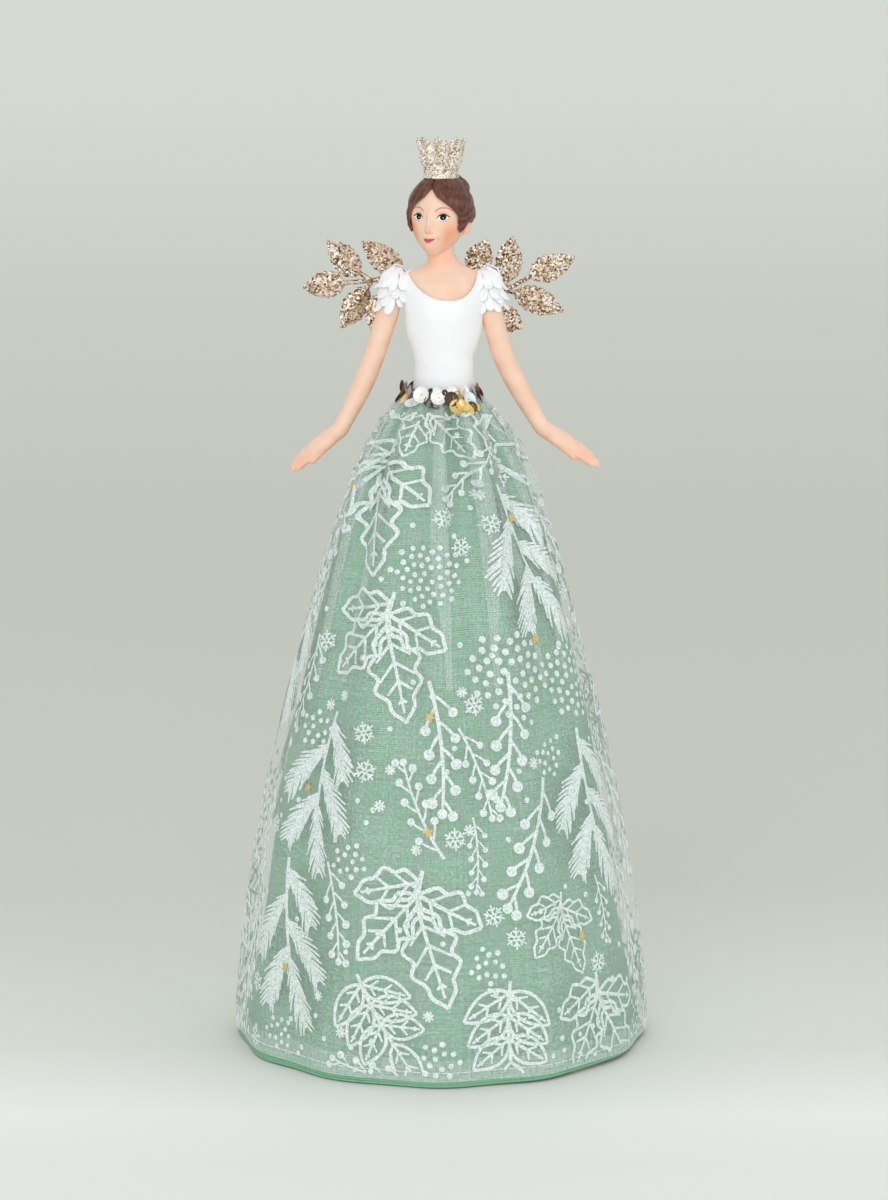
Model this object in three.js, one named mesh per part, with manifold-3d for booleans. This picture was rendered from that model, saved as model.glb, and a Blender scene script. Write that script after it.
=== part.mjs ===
// Angel tree topper: a doll whose hollow skirt stands over the tip of a tree.
// Millimetres, +Z up. The doll faces -Y and stands on the rim of its skirt former at Z = 0.
import * as THREE from 'three';
import { mergeVertices } from 'three/addons/utils/BufferGeometryUtils.js';
import Module from 'manifold-3d';

const wasm = await Module();
wasm.setup();

// Fits
const gap = 0.3;
const cutOverrun = 6;
const weldDistance = 0.0004;

// Skirt: a stiff bell former, a cotton underskirt and an organza overskirt, gathered at the waist
const skirtHeight = 203;
const hemRadius = 64.3;
const waistRadius = 10.8;
const formerWall = 1.2;
const formerRimWidth = 2.8;
const formerRimHeight = 1.6;
const cottonThickness = 0.7;
const cottonHemHeight = 0.35;
const organzaThickness = 0.5;
const organzaHemHeight = 2;
const layerClearance = 0.6;
const organzaLoft = 5.4;
const foldDepth = 1.5;
const foldVariation = 0.3;
const foldCount = 12;
const facetsPerFold = 4;
const formerFacets = 30;
const bellHeightShares = [0, 0.07, 0.2, 0.42, 0.62, 0.79, 0.9, 0.96, 1];
const bellFlareShares = [1, 0.985, 0.932, 0.785, 0.594, 0.411, 0.247, 0.118, 0];
const bellLoftShares = [0.02, 0.6, 1, 0.75, 0.5, 0.32, 0.2, 0.14, 0.05];
const foldDepthShares = [0.5, 0.5, 0.5, 0.55, 0.65, 0.85, 1, 0.6, 0.15];

// Sequin trim: a ribbon round the gathers with cup sequins sewn on in staggered rows
const ribbonThickness = 0.5;
const ribbonDrop = 3.8;
const sequinRadius = 2;
const sequinThickness = 0.4;
const sequinsPerRow = 15;
const ribbonFacets = 24;
const sequinFacets = 6;
const sequinRowShares = [0.2, 0.76];
const sequinLean = 0.07;

// Gold foil stars sewn on the organza: bearing from the front in degrees, height as a share of the skirt
const starCorners = 5;
const starRadius = 1.35;
const starInnerShare = 0.5;
const starThickness = 0.4;
const starPlaceShares = [
  [-69, 0.862], [43, 0.823], [44, 0.645], [-4, 0.545], [-50, 0.424], [-4, 0.379], [-50, 0.153],
  [45, 0.207], [118, 0.74], [152, 0.5], [-128, 0.62], [-162, 0.31], [104, 0.34], [-108, 0.2],
];

// Torso, neck and head: one casting, plugged into the neck of the former
const torsoHeight = 38.2;
const shoulderHalfWidth = 12.2;
const chestHalfDepth = 8.4;
const torsoBack = 0.5;
const torsoLean = 0.9;
const plugLength = 9;
const neckRadius = 4.3;
const neckBack = 1.2;
const neckLean = -0.5;
const bustSwell = 1.3;
const torsoFacets = 22;
const torsoShares = [
  [0, 0.70, 0.96], [0.1, 0.66, 0.86], [0.23, 0.64, 0.76], [0.36, 0.75, 0.82], [0.48, 0.87, 0.93],
  [0.62, 0.91, 1], [0.75, 0.955, 0.98], [0.86, 1, 0.85], [0.92, 0.98, 0.68], [0.955, 0.79, 0.59],
];
const neckRiseShares = [[0, 1.48, 1.05], [0.06, 1.12, 1], [0.3, 1, 1], [1, 1, 1]];
const bustPlaceShares = [0.42, 0.62];
const bustSpreadShares = [0.34, 0.13];

const headHalfWidth = 9.2;
const headHalfDepth = 9.7;
const headHalfHeight = 12.2;
const headTurn = -0.375;
const headColumns = 28;
const headRows = 18;
const faceColumnPower = 1.5;
const jawNarrowingShare = 0.13;
const chinNarrowingShare = 0.16;
const napeShare = 0.34;
const chinRise = 2.7;
// Each row of the face: across, up, forward, spread across, spread up, as shares of the head's half height
const faceFormShares = [
  [0, -0.8, 0.27, 0.28, 0.23], [0, -0.54, 0.11, 0.27, 0.21], [0, -0.55, 0.045, 0.12, 0.06],
  [0, -0.31, 0.165, 0.07, 0.09], [0, -0.09, 0.085, 0.062, 0.2], [0.3, 0.04, -0.078, 0.12, 0.085],
  [-0.3, 0.04, -0.078, 0.12, 0.085], [0.38, -0.31, 0.045, 0.18, 0.17], [-0.38, -0.31, 0.045, 0.18, 0.17],
  [0, 0.5, 0.03, 0.4, 0.25],
];
const earHalfSize = [1.25, 1.5, 2.2];
const earBack = 0.7;
const earDrop = 3.4;

// Hair: a moulded cap with a centre parting, side locks before the ears and a wound bun
const hairThickness = 0.85;
const partingRise = 9.4;
const faceOpeningHalfWidth = 8.6;
const faceOpeningShares = [
  [0, 1], [0.12, 0.86], [0.28, 0.7], [0.5, 0.55], [0.76, 0.36], [0.93, 0.12], [1, -0.14], [0.985, -0.34],
  [1.05, -0.64],
];
const lockDrop = 5.6;
const hairSideShares = [
  [-3.6, -1], [-0.84, -1], [-0.23, -0.24], [0.95, -0.24], [1.25, -1.02], [1.6, -1.3], [3.6, -1.3],
];
const bunRadius = 6;
const bunHalfDepth = 4.4;
const bunSeatShare = 0.928;
const bunRise = 0.78;
const bunRidge = 0.35;
const bunWinds = 3;
const bunFacets = 22;

// Crown: a flared ring of leaf-shaped points over a plain band
const crownHeight = 12;
const crownFootRadius = 5.45;
const crownTopRadius = 7.3;
const crownWall = 1;
const crownSink = 0.7;
const crownPoints = 8;
const crownFacetsPerPoint = 4;
const crownNotchShare = 0.36;
const crownLevelShares = [0, 0.3, 0.65, 1];

// Bodice: a skin over the torso with a scoop neck
const bodiceThickness = 0.8;
const bodiceFootClearance = 0.4;
const scoopSteps = 12;
const scoopDepth = 10.1;
const scoopHalfWidth = 11.2;
const scoopShift = 1;
const backScoopDepth = 3.2;
const bodiceTopDrop = 1.2;

// Arms: separate castings pegged into the shoulders, hands palm down
const armReach = 18;
const armDrop = 43.2;
const armRadius = 3.4;
const shoulderOut = 14;
const shoulderDrop = 5.6;
const armFacets = 10;
// Points along each arm: out and forward as shares of the reach, down as a share of the drop
const armRightShares = [
  [0, 0, 0], [0.15, 0.03, 0.24], [0.36, 0.05, 0.51], [0.6, 0.02, 0.76], [0.93, -0.02, 1],
];
const armLeftShares = [
  [0, 0, 0], [0.1, 0.03, 0.24], [0.28, 0.05, 0.51], [0.57, 0.02, 0.76], [0.95, -0.02, 1],
];
const armRadiusShares = [1.04, 1, 0.95, 0.9, 0.74];
const pegRadius = 1.3;
const pegLength = 6.5;
const palmHalfSize = [5.4, 2.7, 2.25];
const handLength = 20;
const fingerLength = 8.4;
const fingerRadius = 0.95;
const fingerPitch = 1.3;
const thumbLength = 6.2;
const handDip = 0.7;

// Petal sleeves: soft tongues fanned over each shoulder
const petalLength = 10.6;
const petalHalfWidth = 1.75;
const petalHalfThickness = 0.5;
const petalCount = 7;
const petalSpread = 2.7;
const petalLift = 1.1;

// Wings: leaf sprays on bendable wire, held by a pad on the back of the bodice
const padHalfWidth = 5.6;
const padHeight = 7;
const padThickness = 2.4;
const padDrop = 5.4;
const wireRadius = 0.6;
const wireRootRadius = 0.75;
const wingReach = 21;
const leafThickness = 1.2;
const leafHalfWidth = 4.1;
const leafFold = 1;
const leafStations = 8;
const leafStagger = 0.9;
const wingHubOutRight = 21.3;
const wingHubOutLeft = 19.8;
const wingHubDropRight = 0.4;
const wingHubDropLeft = 3.4;
// Each leaf: share of the main stem where it branches, then base and tip from the hub as shares of the reach
const leafRightShares = [
  [0.4, -0.43, 0.1, 0.14, 0.57], [1, 0.2, 0.08, 0.65, 0.58], [1, 0.4, -0.03, 1, -0.105],
  [1, 0.07, -0.12, 0.457, -0.695], [0.86, -0.17, -0.2, 0, -0.757],
];
const leafLeftShares = [
  [0.2, -0.486, 0.25, -0.267, 0.733], [1, 0.01, 0.12, 0.1, 0.78], [1, 0.36, 0.205, 1.01, 0.49],
  [1, 0.15, -0.03, 0.85, -0.314], [0.84, -0.2, -0.33, 0.262, -0.535],
];

// Heights and places that follow from the sizes
const bodyFoot = skirtHeight + bodiceFootClearance;
const neckBase = bodyFoot + torsoHeight;
const headCentre = new THREE.Vector3(0, 0, neckBase + headHalfHeight + chinRise);
const shoulder = new THREE.Vector3(shoulderOut, torsoBack, neckBase - shoulderDrop);

// Mesh and solid helpers

function closedGeometry(positions, indices) {
  const geometry = new THREE.BufferGeometry();
  geometry.setAttribute('position', new THREE.Float32BufferAttribute(positions, 3));
  geometry.setIndex(indices);
  const merged = mergeVertices(geometry, weldDistance);
  const kept = [];
  for (let i = 0; i < merged.index.count; i += 3) {
    const [a, b, c] = [merged.index.getX(i), merged.index.getX(i + 1), merged.index.getX(i + 2)];
    if (a !== b && b !== c && c !== a) kept.push(a, b, c);
  }
  merged.setIndex(signedVolume(merged, kept) < 0 ? flipped(kept) : kept);
  return merged;
}

function signedVolume(geometry, indices) {
  const place = geometry.attributes.position;
  const [a, b, c] = [new THREE.Vector3(), new THREE.Vector3(), new THREE.Vector3()];
  let sum = 0;
  for (let i = 0; i < indices.length; i += 3) {
    a.fromBufferAttribute(place, indices[i]);
    b.fromBufferAttribute(place, indices[i + 1]);
    c.fromBufferAttribute(place, indices[i + 2]);
    sum += a.dot(b.cross(c));
  }
  return sum;
}

function flipped(indices) {
  const turned = [];
  for (let i = 0; i < indices.length; i += 3) turned.push(indices[i], indices[i + 2], indices[i + 1]);
  return turned;
}

// Skins a row of rings with equal point counts; a looped row closes on itself, an open one is capped
function skinRings(rings, looped) {
  const count = rings[0].length;
  const positions = rings.flat().flatMap((p) => [p.x, p.y, p.z]);
  const indices = [];
  const last = looped ? rings.length : rings.length - 1;
  for (let i = 0; i < last; i += 1) {
    const next = (i + 1) % rings.length;
    for (let j = 0; j < count; j += 1) {
      const k = (j + 1) % count;
      const [a, b, c, d] = [i * count + j, i * count + k, next * count + k, next * count + j];
      indices.push(a, b, c, a, c, d);
    }
  }
  if (!looped) {
    addCap(positions, indices, rings[0], 0, true);
    addCap(positions, indices, rings[rings.length - 1], (rings.length - 1) * count, false);
  }
  return closedGeometry(positions, indices);
}

function addCap(positions, indices, ring, start, reversed) {
  const middle = new THREE.Vector3();
  ring.forEach((p) => middle.add(p));
  middle.divideScalar(ring.length);
  const centre = positions.length / 3;
  positions.push(middle.x, middle.y, middle.z);
  for (let j = 0; j < ring.length; j += 1) {
    const k = (j + 1) % ring.length;
    if (reversed) indices.push(centre, start + k, start + j);
    else indices.push(centre, start + j, start + k);
  }
}

function toSolid(geometry) {
  return new wasm.Manifold(new wasm.Mesh({
    numProp: 3,
    vertProperties: new Float32Array(geometry.attributes.position.array),
    triVerts: new Uint32Array(geometry.index.array),
  }));
}

function bareSolid(geometry) {
  const { count, array } = geometry.attributes.position;
  const index = geometry.index ? geometry.index.array : Array.from({ length: count }, (_, i) => i);
  return toSolid(closedGeometry(Array.from(array), Array.from(index)));
}

function toGeometry(solid) {
  const mesh = solid.getMesh();
  return closedGeometry(Array.from(mesh.vertProperties), Array.from(mesh.triVerts));
}

function joined(solids) {
  return solids.reduce((sum, solid) => sum.add(solid));
}

function interpolate(shares, valueShares, share) {
  let i = 1;
  while (i < shares.length - 1 && share > shares[i]) i += 1;
  const t = THREE.MathUtils.clamp((share - shares[i - 1]) / (shares[i] - shares[i - 1]), 0, 1);
  return THREE.MathUtils.lerp(valueShares[i - 1], valueShares[i], t);
}

function ellipseRing(count, place) {
  return Array.from({ length: count }, (_, j) => place((2 * Math.PI * j) / count));
}

function ellipsoid(halfSize, columns, rows) {
  return new THREE.SphereGeometry(1, columns, rows).rotateX(Math.PI / 2).scale(...halfSize);
}

// Straight prism of a flat outline, from Z = 0 up
function extruded(outline, depth, curveSegments) {
  const shape = outline instanceof THREE.Shape ? outline : new THREE.Shape(outline);
  return new THREE.ExtrudeGeometry(shape, { depth, bevelEnabled: false, curveSegments });
}

// Tapered limb along a curve with one radius for each station; ends are domed
function limb(points, radii, facets, side) {
  const curve = new THREE.CatmullRomCurve3(points);
  const stations = points.length - 1;
  const rings = [];
  for (let i = 0; i <= stations; i += 1) {
    const t = i / stations;
    rings.push(limbRing(curve, t, radii[i], 0, facets));
  }
  rings.unshift(limbRing(curve, 0, radii[0] * 0.7, -radii[0] * 0.7, facets));
  rings.push(limbRing(curve, 1, radii[stations] * 0.7, radii[stations] * 0.7, facets));
  rings.forEach((ring) => ring.forEach((p) => p.setX(p.x * side)));
  return toSolid(skinRings(rings, false));
}

function limbRing(curve, t, radius, along, facets) {
  const tangent = curve.getTangent(t);
  const centre = curve.getPoint(t).addScaledVector(tangent, along);
  const across = new THREE.Vector3(0, 1, 0).cross(tangent).normalize();
  const up = tangent.clone().cross(across);
  return ellipseRing(facets, (a) => centre.clone()
    .addScaledVector(across, radius * Math.cos(a))
    .addScaledVector(up, radius * Math.sin(a)));
}

// Skirt layers

function bellRadius(share) {
  return waistRadius + (hemRadius - waistRadius) * interpolate(bellHeightShares, bellFlareShares, share);
}

function foldAmplitude(share) {
  return foldDepth * interpolate(bellHeightShares, foldDepthShares, share);
}

function foldOffset(angle, share) {
  const variation = 1 + foldVariation * Math.sin(2 * angle) ** 2 * Math.cos(5 * angle);
  return foldAmplitude(share) * variation * Math.cos(foldCount * angle);
}

function cottonInset(share) {
  const loft = organzaLoft * interpolate(bellHeightShares, bellLoftShares, share);
  return organzaThickness + layerClearance + loft;
}

function formerInset(share) {
  const reach = foldAmplitude(share) * (1 + foldVariation);
  return cottonInset(share) + cottonThickness + layerClearance + reach;
}

function bellLevels(foot) {
  const inner = bellHeightShares.slice(1, -1).map((share) => share * skirtHeight);
  return [foot, ...inner, skirtHeight];
}

function foldedRing(z, inset) {
  const share = z / skirtHeight;
  return ellipseRing(foldCount * facetsPerFold, (a) => {
    const radius = bellRadius(share) - inset(share) + foldOffset(a, share);
    return new THREE.Vector3(radius * Math.cos(a), radius * Math.sin(a), z);
  });
}

function makeSkirtLayer(foot, inset, thickness) {
  const levels = bellLevels(foot);
  const outside = levels.map((z) => foldedRing(z, inset));
  const inside = levels.map((z) => foldedRing(z, (share) => inset(share) + thickness));
  return skinRings([...outside, ...inside.reverse()], true);
}

function roundRing(z, radius, facets) {
  return ellipseRing(facets, (a) => new THREE.Vector3(radius * Math.cos(a), radius * Math.sin(a), z));
}

function formerRadius(z) {
  const share = z / skirtHeight;
  return bellRadius(share) - formerInset(share);
}

function makeFormer() {
  const levels = bellLevels(0);
  const outside = levels.map((z) => roundRing(z, formerRadius(z), formerFacets));
  const insideLevels = [formerRimHeight, ...levels.slice(1)];
  const inside = insideLevels.map((z) => roundRing(z, formerRadius(z) - formerWall, formerFacets));
  const rimRadius = formerRadius(0) - formerRimWidth;
  const rim = [formerRimHeight, 0].map((z) => roundRing(z, rimRadius, formerFacets));
  return skinRings([...outside, ...inside.reverse(), ...rim], true);
}

// Ribbon and sequins

function ribbonRadius(z) {
  const share = z / skirtHeight;
  return bellRadius(share) + foldAmplitude(share) * (1 + foldVariation) + gap;
}

function makeSequinTrim() {
  const foot = skirtHeight - ribbonDrop;
  const levels = [foot, skirtHeight];
  const outside = levels.map((z) => roundRing(z, ribbonRadius(z) + ribbonThickness, ribbonFacets));
  const inside = levels.map((z) => roundRing(z, ribbonRadius(z), ribbonFacets));
  const ribbon = toSolid(skinRings([...outside, ...inside.reverse()], true));
  const slope = Math.atan((ribbonRadius(foot) - ribbonRadius(skirtHeight)) / ribbonDrop);
  const sequins = sequinRowShares.flatMap((share, row) => sequinRow(foot + share * ribbonDrop, row, slope));
  return toGeometry(joined([ribbon, ...sequins]));
}

// Discs lie along the slope of the ribbon, each sunk a little into it and leaning its own way
function sequinRow(z, row, slope) {
  return Array.from({ length: sequinsPerRow }, (_, i) => {
    const bearing = ((i + row / 2) / sequinsPerRow) * 2 * Math.PI;
    const disc = new THREE.CylinderGeometry(sequinRadius, sequinRadius, sequinThickness, sequinFacets);
    disc.rotateY(i).rotateZ(-Math.PI / 2).rotateY(-slope + sequinLean * Math.sin(7 * i + row));
    const reach = ribbonRadius(z) + ribbonThickness + sequinThickness * 0.35;
    disc.translate(reach, 0, z).rotateZ(bearing);
    return bareSolid(disc);
  });
}

// Stars

function organzaRadius(angle, share) {
  const facets = foldCount * facetsPerFold;
  const place = (angle / (2 * Math.PI)) * facets;
  const before = (Math.floor(place) / facets) * 2 * Math.PI;
  const after = ((Math.floor(place) + 1) / facets) * 2 * Math.PI;
  const folds = [foldOffset(before, share), foldOffset(after, share)];
  return bellRadius(share) + THREE.MathUtils.lerp(...folds, place - Math.floor(place));
}

// Radius at which a flat star of this slope clears the cloth under all of it
function starSeat(angle, share, slope) {
  const turn = starRadius / bellRadius(share);
  const rise = starRadius / skirtHeight;
  const offsets = [-1, -0.5, 0, 0.5, 1];
  const seats = offsets.flatMap((across) => offsets.map((up) => (
    organzaRadius(angle + across * turn, share + up * rise) + up * starRadius * slope
  )));
  return Math.max(...seats) + gap / Math.cos(Math.atan(slope));
}

function makeStar([bearing, share]) {
  const outline = Array.from({ length: 2 * starCorners }, (_, i) => {
    const radius = i % 2 ? starRadius * starInnerShare : starRadius;
    const turn = (i * Math.PI) / starCorners;
    return new THREE.Vector2(radius * Math.sin(turn), radius * Math.cos(turn));
  });
  const star = extruded(outline, starThickness);
  const angle = THREE.MathUtils.degToRad(bearing) - Math.PI / 2;
  const span = starRadius / skirtHeight;
  const slope = (bellRadius(share - span) - bellRadius(share + span)) / (2 * starRadius);
  star.rotateX(Math.PI / 2).rotateZ(Math.PI / 2).rotateY(-Math.atan(slope));
  return star.translate(starSeat(angle, share, slope), 0, share * skirtHeight).rotateZ(angle);
}

// Torso and neck

function bustOffset(angle, share) {
  if (Math.sin(angle) >= 0) return 0;
  const across = (Math.abs(Math.cos(angle)) - bustPlaceShares[0]) / bustSpreadShares[0];
  const up = (share - bustPlaceShares[1]) / bustSpreadShares[1];
  return bustSwell * Math.exp(-(across ** 2) - up ** 2) * -Math.sin(angle);
}

function torsoRing([share, widthShare, depthShare], grow) {
  const halfWidth = shoulderHalfWidth * widthShare + grow;
  const halfDepth = chestHalfDepth * depthShare + grow;
  return ellipseRing(torsoFacets, (a) => new THREE.Vector3(
    torsoLean + halfWidth * Math.cos(a),
    torsoBack + halfDepth * Math.sin(a) - bustOffset(a, share),
    bodyFoot + share * torsoHeight,
  ));
}

function neckRing([share, widthShare, depthShare], grow) {
  const lean = THREE.MathUtils.lerp(torsoLean, neckLean, Math.min(1, share * 3));
  const back = THREE.MathUtils.lerp(torsoBack, neckBack, Math.min(1, share * 3));
  return ellipseRing(torsoFacets, (a) => new THREE.Vector3(
    lean + (neckRadius * widthShare + grow) * Math.cos(a),
    back + (neckRadius * depthShare + grow) * Math.sin(a),
    neckBase + share * headHalfHeight * 0.9 + grow,
  ));
}

function torsoSolid(grow) {
  const lower = torsoShares.map((row) => torsoRing(row, grow));
  lower[0].forEach((p) => p.setZ(p.z - grow));
  const upper = neckRiseShares.map((row) => neckRing(row, grow));
  return toSolid(skinRings([...lower, ...upper], false));
}

function plugSolid() {
  const radius = formerRadius(skirtHeight) - formerWall - gap;
  const length = plugLength + bodiceFootClearance;
  const plug = new THREE.CylinderGeometry(radius, radius - gap, length * 1.2, torsoFacets);
  return bareSolid(plug.rotateX(Math.PI / 2).translate(0, 0, bodyFoot - length + length * 0.6));
}

// Head

function headPoint(across, polar, grow) {
  const warped = Math.sign(across) * Math.abs(across) ** faceColumnPower * Math.PI;
  const x = Math.sin(warped) * Math.sin(polar);
  const y = -Math.cos(warped) * Math.sin(polar);
  const z = Math.cos(polar);
  const low = Math.max(0, -z);
  const jaw = 1 - low * (jawNarrowingShare + chinNarrowingShare * low);
  const nape = y > 0 ? 1 - napeShare * low : 1;
  const point = new THREE.Vector3(
    (headHalfWidth + grow) * x * jaw,
    (headHalfDepth + grow) * y * nape,
    (headHalfHeight + grow) * z,
  );
  point.y -= faceForm(point.x, point.z) * Math.min(1, Math.max(0, -y) * 3);
  return point;
}

function faceForm(x, z) {
  return faceFormShares.reduce((sum, row) => {
    const [px, pz, height, spreadX, spreadZ] = row.map((share) => share * headHalfHeight);
    return sum + height * Math.exp(-(((x - px) / spreadX) ** 2) - ((z - pz) / spreadZ) ** 2);
  }, 0);
}

function headShape(grow) {
  const rings = [];
  for (let i = headRows - 1; i > 0; i -= 1) {
    rings.push(Array.from({ length: headColumns }, (_, j) => {
      const across = (2 * j) / headColumns - 1;
      return headPoint(across, (Math.PI * i) / headRows, grow);
    }));
  }
  return skinRings(rings, false);
}

function placeOnHead(geometry) {
  return geometry.rotateZ(headTurn).translate(headCentre.x, headCentre.y, headCentre.z);
}

function headSolid(grow) {
  return toSolid(placeOnHead(headShape(grow)));
}

function earSolid(side, grow) {
  const out = headHalfWidth - earHalfSize[0] * 0.5;
  const halfSize = earHalfSize.map((half) => half + grow);
  return bareSolid(placeOnHead(ellipsoid(halfSize, 10, 8).translate(side * out, earBack, -earDrop)));
}

function makeFigure() {
  const sockets = [-1, 1].map((side) => pegSolid(side, pegRadius + gap, pegLength + gap));
  const body = joined([torsoSolid(0), plugSolid(), headSolid(0), earSolid(-1, 0), earSolid(1, 0)]);
  return toGeometry(body.subtract(joined(sockets)));
}

// Hair

function faceCutter() {
  const size = [faceOpeningHalfWidth, partingRise];
  const right = faceOpeningShares.map(([x, z]) => new THREE.Vector2(x * size[0], -z * size[1]));
  const below = headHalfHeight + cutOverrun;
  const foot = new THREE.Vector2(right[right.length - 1].x, below);
  const half = [...right, foot];
  const mirrored = half.slice(1).reverse().map((p) => new THREE.Vector2(-p.x, p.y));
  const front = -headHalfDepth - cutOverrun;
  const prism = extruded([...half, ...mirrored], -front);
  return bareSolid(placeOnHead(prism.rotateX(-Math.PI / 2).translate(0, front, 0)));
}

function sideCutter() {
  const points = hairSideShares.map(([y, z]) => new THREE.Vector2(y * lockDrop, z * lockDrop));
  const below = -headHalfHeight - cutOverrun;
  const outline = [
    new THREE.Vector2(points[0].x, below),
    ...points,
    new THREE.Vector2(points[points.length - 1].x, below),
  ];
  const width = 2 * (headHalfWidth + cutOverrun);
  const prism = extruded(outline, width);
  prism.rotateX(Math.PI / 2).rotateZ(Math.PI / 2).translate(-width / 2, 0, 0);
  return bareSolid(placeOnHead(prism));
}

function hairCap(grow) {
  return headSolid(gap + hairThickness + grow);
}

function makeHair() {
  const flesh = [headSolid(gap), torsoSolid(gap), earSolid(-1, gap), earSolid(1, gap)];
  const cutters = joined([...flesh, faceCutter(), sideCutter()]);
  return toGeometry(hairCap(0).subtract(cutters));
}

// Distance from the middle of the head out to the hair, in the direction of the bun
function bunSeat() {
  const [back, up] = [headHalfDepth + hairThickness, headHalfHeight + hairThickness];
  return bunSeatShare / Math.hypot(Math.cos(bunRise) / back, Math.sin(bunRise) / up);
}

function makeBun() {
  const steps = 4 * bunWinds;
  const profile = Array.from({ length: steps + 1 }, (_, i) => {
    const t = i / steps;
    const ridge = i % steps ? bunRidge * Math.cos(2 * Math.PI * bunWinds * t) : 0;
    const radius = i % steps ? bunRadius * Math.sin(Math.PI * t) ** 0.7 - ridge : 0;
    return new THREE.Vector2(radius, -bunHalfDepth * Math.cos(Math.PI * t));
  });
  const bun = new THREE.LatheGeometry(profile, bunFacets);
  bun.translate(0, bunSeat(), 0).rotateX(bunRise);
  return toGeometry(bareSolid(placeOnHead(bun)).subtract(hairCap(gap)).subtract(crownEnvelope(gap)));
}

// Crown

function crownRadius(share) {
  return crownFootRadius + (crownTopRadius - crownFootRadius) * share ** 1.5;
}

function crownRing(level, inset) {
  const count = crownPoints * crownFacetsPerPoint;
  return ellipseRing(count, (a) => {
    const across = Math.abs(((a * crownPoints) / Math.PI) % 2 - 1);
    const top = 1 - crownNotchShare * (1 - across) ** 1.4;
    const share = level * top;
    const radius = crownRadius(share) - inset;
    return new THREE.Vector3(radius * Math.cos(a), radius * Math.sin(a), share * crownHeight);
  });
}

function crownEnvelope(grow) {
  const cone = new THREE.CylinderGeometry(crownTopRadius + grow, crownFootRadius + grow, crownHeight, 24);
  cone.rotateX(Math.PI / 2).translate(0, 0, headHalfHeight - crownSink + crownHeight / 2);
  return bareSolid(placeOnHead(cone));
}

function makeCrown() {
  const outside = crownLevelShares.map((level) => crownRing(level, 0));
  const inside = crownLevelShares.map((level) => crownRing(level, crownWall));
  const ring = skinRings([...outside, ...inside.reverse()], true);
  ring.rotateZ(Math.PI / 2 / crownPoints).translate(0, 0, headHalfHeight - crownSink);
  return toGeometry(toSolid(placeOnHead(ring)).subtract(hairCap(gap)));
}

// Bodice

function bodiceOuter(grow) {
  return torsoSolid(gap + bodiceThickness + grow);
}

function scoopCutter(depth, yStart, yEnd) {
  const rim = neckBase;
  const arc = Array.from({ length: scoopSteps + 1 }, (_, i) => {
    const a = Math.PI + (Math.PI * i) / scoopSteps;
    const x = scoopShift + scoopHalfWidth * Math.sign(Math.cos(a)) * Math.abs(Math.cos(a)) ** 0.85;
    return new THREE.Vector2(x, -(rim + depth * Math.sin(a)));
  });
  const top = -(rim + headHalfHeight + cutOverrun);
  const outline = [...arc, new THREE.Vector2(arc[scoopSteps].x, top), new THREE.Vector2(arc[0].x, top)];
  const prism = extruded(outline, yEnd - yStart);
  return bareSolid(prism.rotateX(-Math.PI / 2).translate(0, yStart, 0));
}

function levelCutter(z, height) {
  const width = 2 * (shoulderHalfWidth + cutOverrun);
  return bareSolid(new THREE.BoxGeometry(width, width, height).translate(0, 0, z + height / 2));
}

function makeBodice() {
  const reach = chestHalfDepth + cutOverrun;
  const foot = bodyFoot + gap;
  const cutters = [
    torsoSolid(gap),
    scoopCutter(scoopDepth, -reach, 0),
    scoopCutter(backScoopDepth, -gap, reach),
    levelCutter(foot - cutOverrun, cutOverrun),
    levelCutter(neckBase - bodiceTopDrop, headHalfHeight + cutOverrun),
    pegSolid(-1, pegRadius + gap, pegLength + gap),
    pegSolid(1, pegRadius + gap, pegLength + gap),
  ];
  return toGeometry(bodiceOuter(0).subtract(joined(cutters)));
}

// Arms and hands

function pegSolid(side, radius, length) {
  const peg = new THREE.CylinderGeometry(radius, radius, length, armFacets).rotateZ(Math.PI / 2);
  const x = side * (shoulder.x - length / 2 + gap);
  return bareSolid(peg.translate(x, shoulder.y, shoulder.z));
}

function armPoint([out, forward, down], side) {
  return new THREE.Vector3(
    (shoulder.x + out * armReach) * side,
    shoulder.y + forward * armReach,
    shoulder.z - down * armDrop,
  );
}

function armRoute(side) {
  return (side < 0 ? armRightShares : armLeftShares).map((row) => armPoint(row, 1));
}

function armSolid(side, grow) {
  const points = armRoute(side);
  const radii = armRadiusShares.map((share) => armRadius * share + grow);
  return limb(points, radii, armFacets, side);
}

function handPieces() {
  const palm = ellipsoid(palmHalfSize, 12, 8).translate(palmHalfSize[0] * 0.9, 0, 0);
  const fingers = [-1.5, -0.5, 0.5, 1.5].map((place) => {
    const length = fingerLength * (1 - 0.06 * (place - 0.3) ** 2);
    const finger = new THREE.CapsuleGeometry(fingerRadius, length, 2, 6, 1).rotateZ(Math.PI / 2);
    finger.scale(1, 1, 1 - 0.1 * Math.abs(place));
    const middle = handLength - fingerLength + length / 2 - fingerRadius;
    return finger.translate(middle, place * fingerPitch, -fingerRadius * 0.3);
  });
  const thumb = new THREE.CapsuleGeometry(fingerRadius * 1.1, thumbLength, 2, 6, 1).rotateZ(Math.PI / 2);
  thumb.rotateZ(-0.2).translate(palmHalfSize[0] * 1.35, -palmHalfSize[1] * 0.85, -palmHalfSize[2] * 0.35);
  return [palm, ...fingers, thumb];
}

function handSolid(side) {
  const wrist = armRoute(side).pop();
  const pieces = handPieces().map((piece) => {
    piece.rotateY(handDip).translate(wrist.x, wrist.y, wrist.z);
    return bareSolid(piece.scale(side, 1, 1));
  });
  return joined(pieces);
}

function makeArm(side) {
  const arm = joined([armSolid(side, 0), handSolid(side)]);
  const flush = arm.subtract(bodiceOuter(gap));
  return toGeometry(flush.add(pegSolid(side, pegRadius, pegLength)));
}

// Petal sleeves

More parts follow.
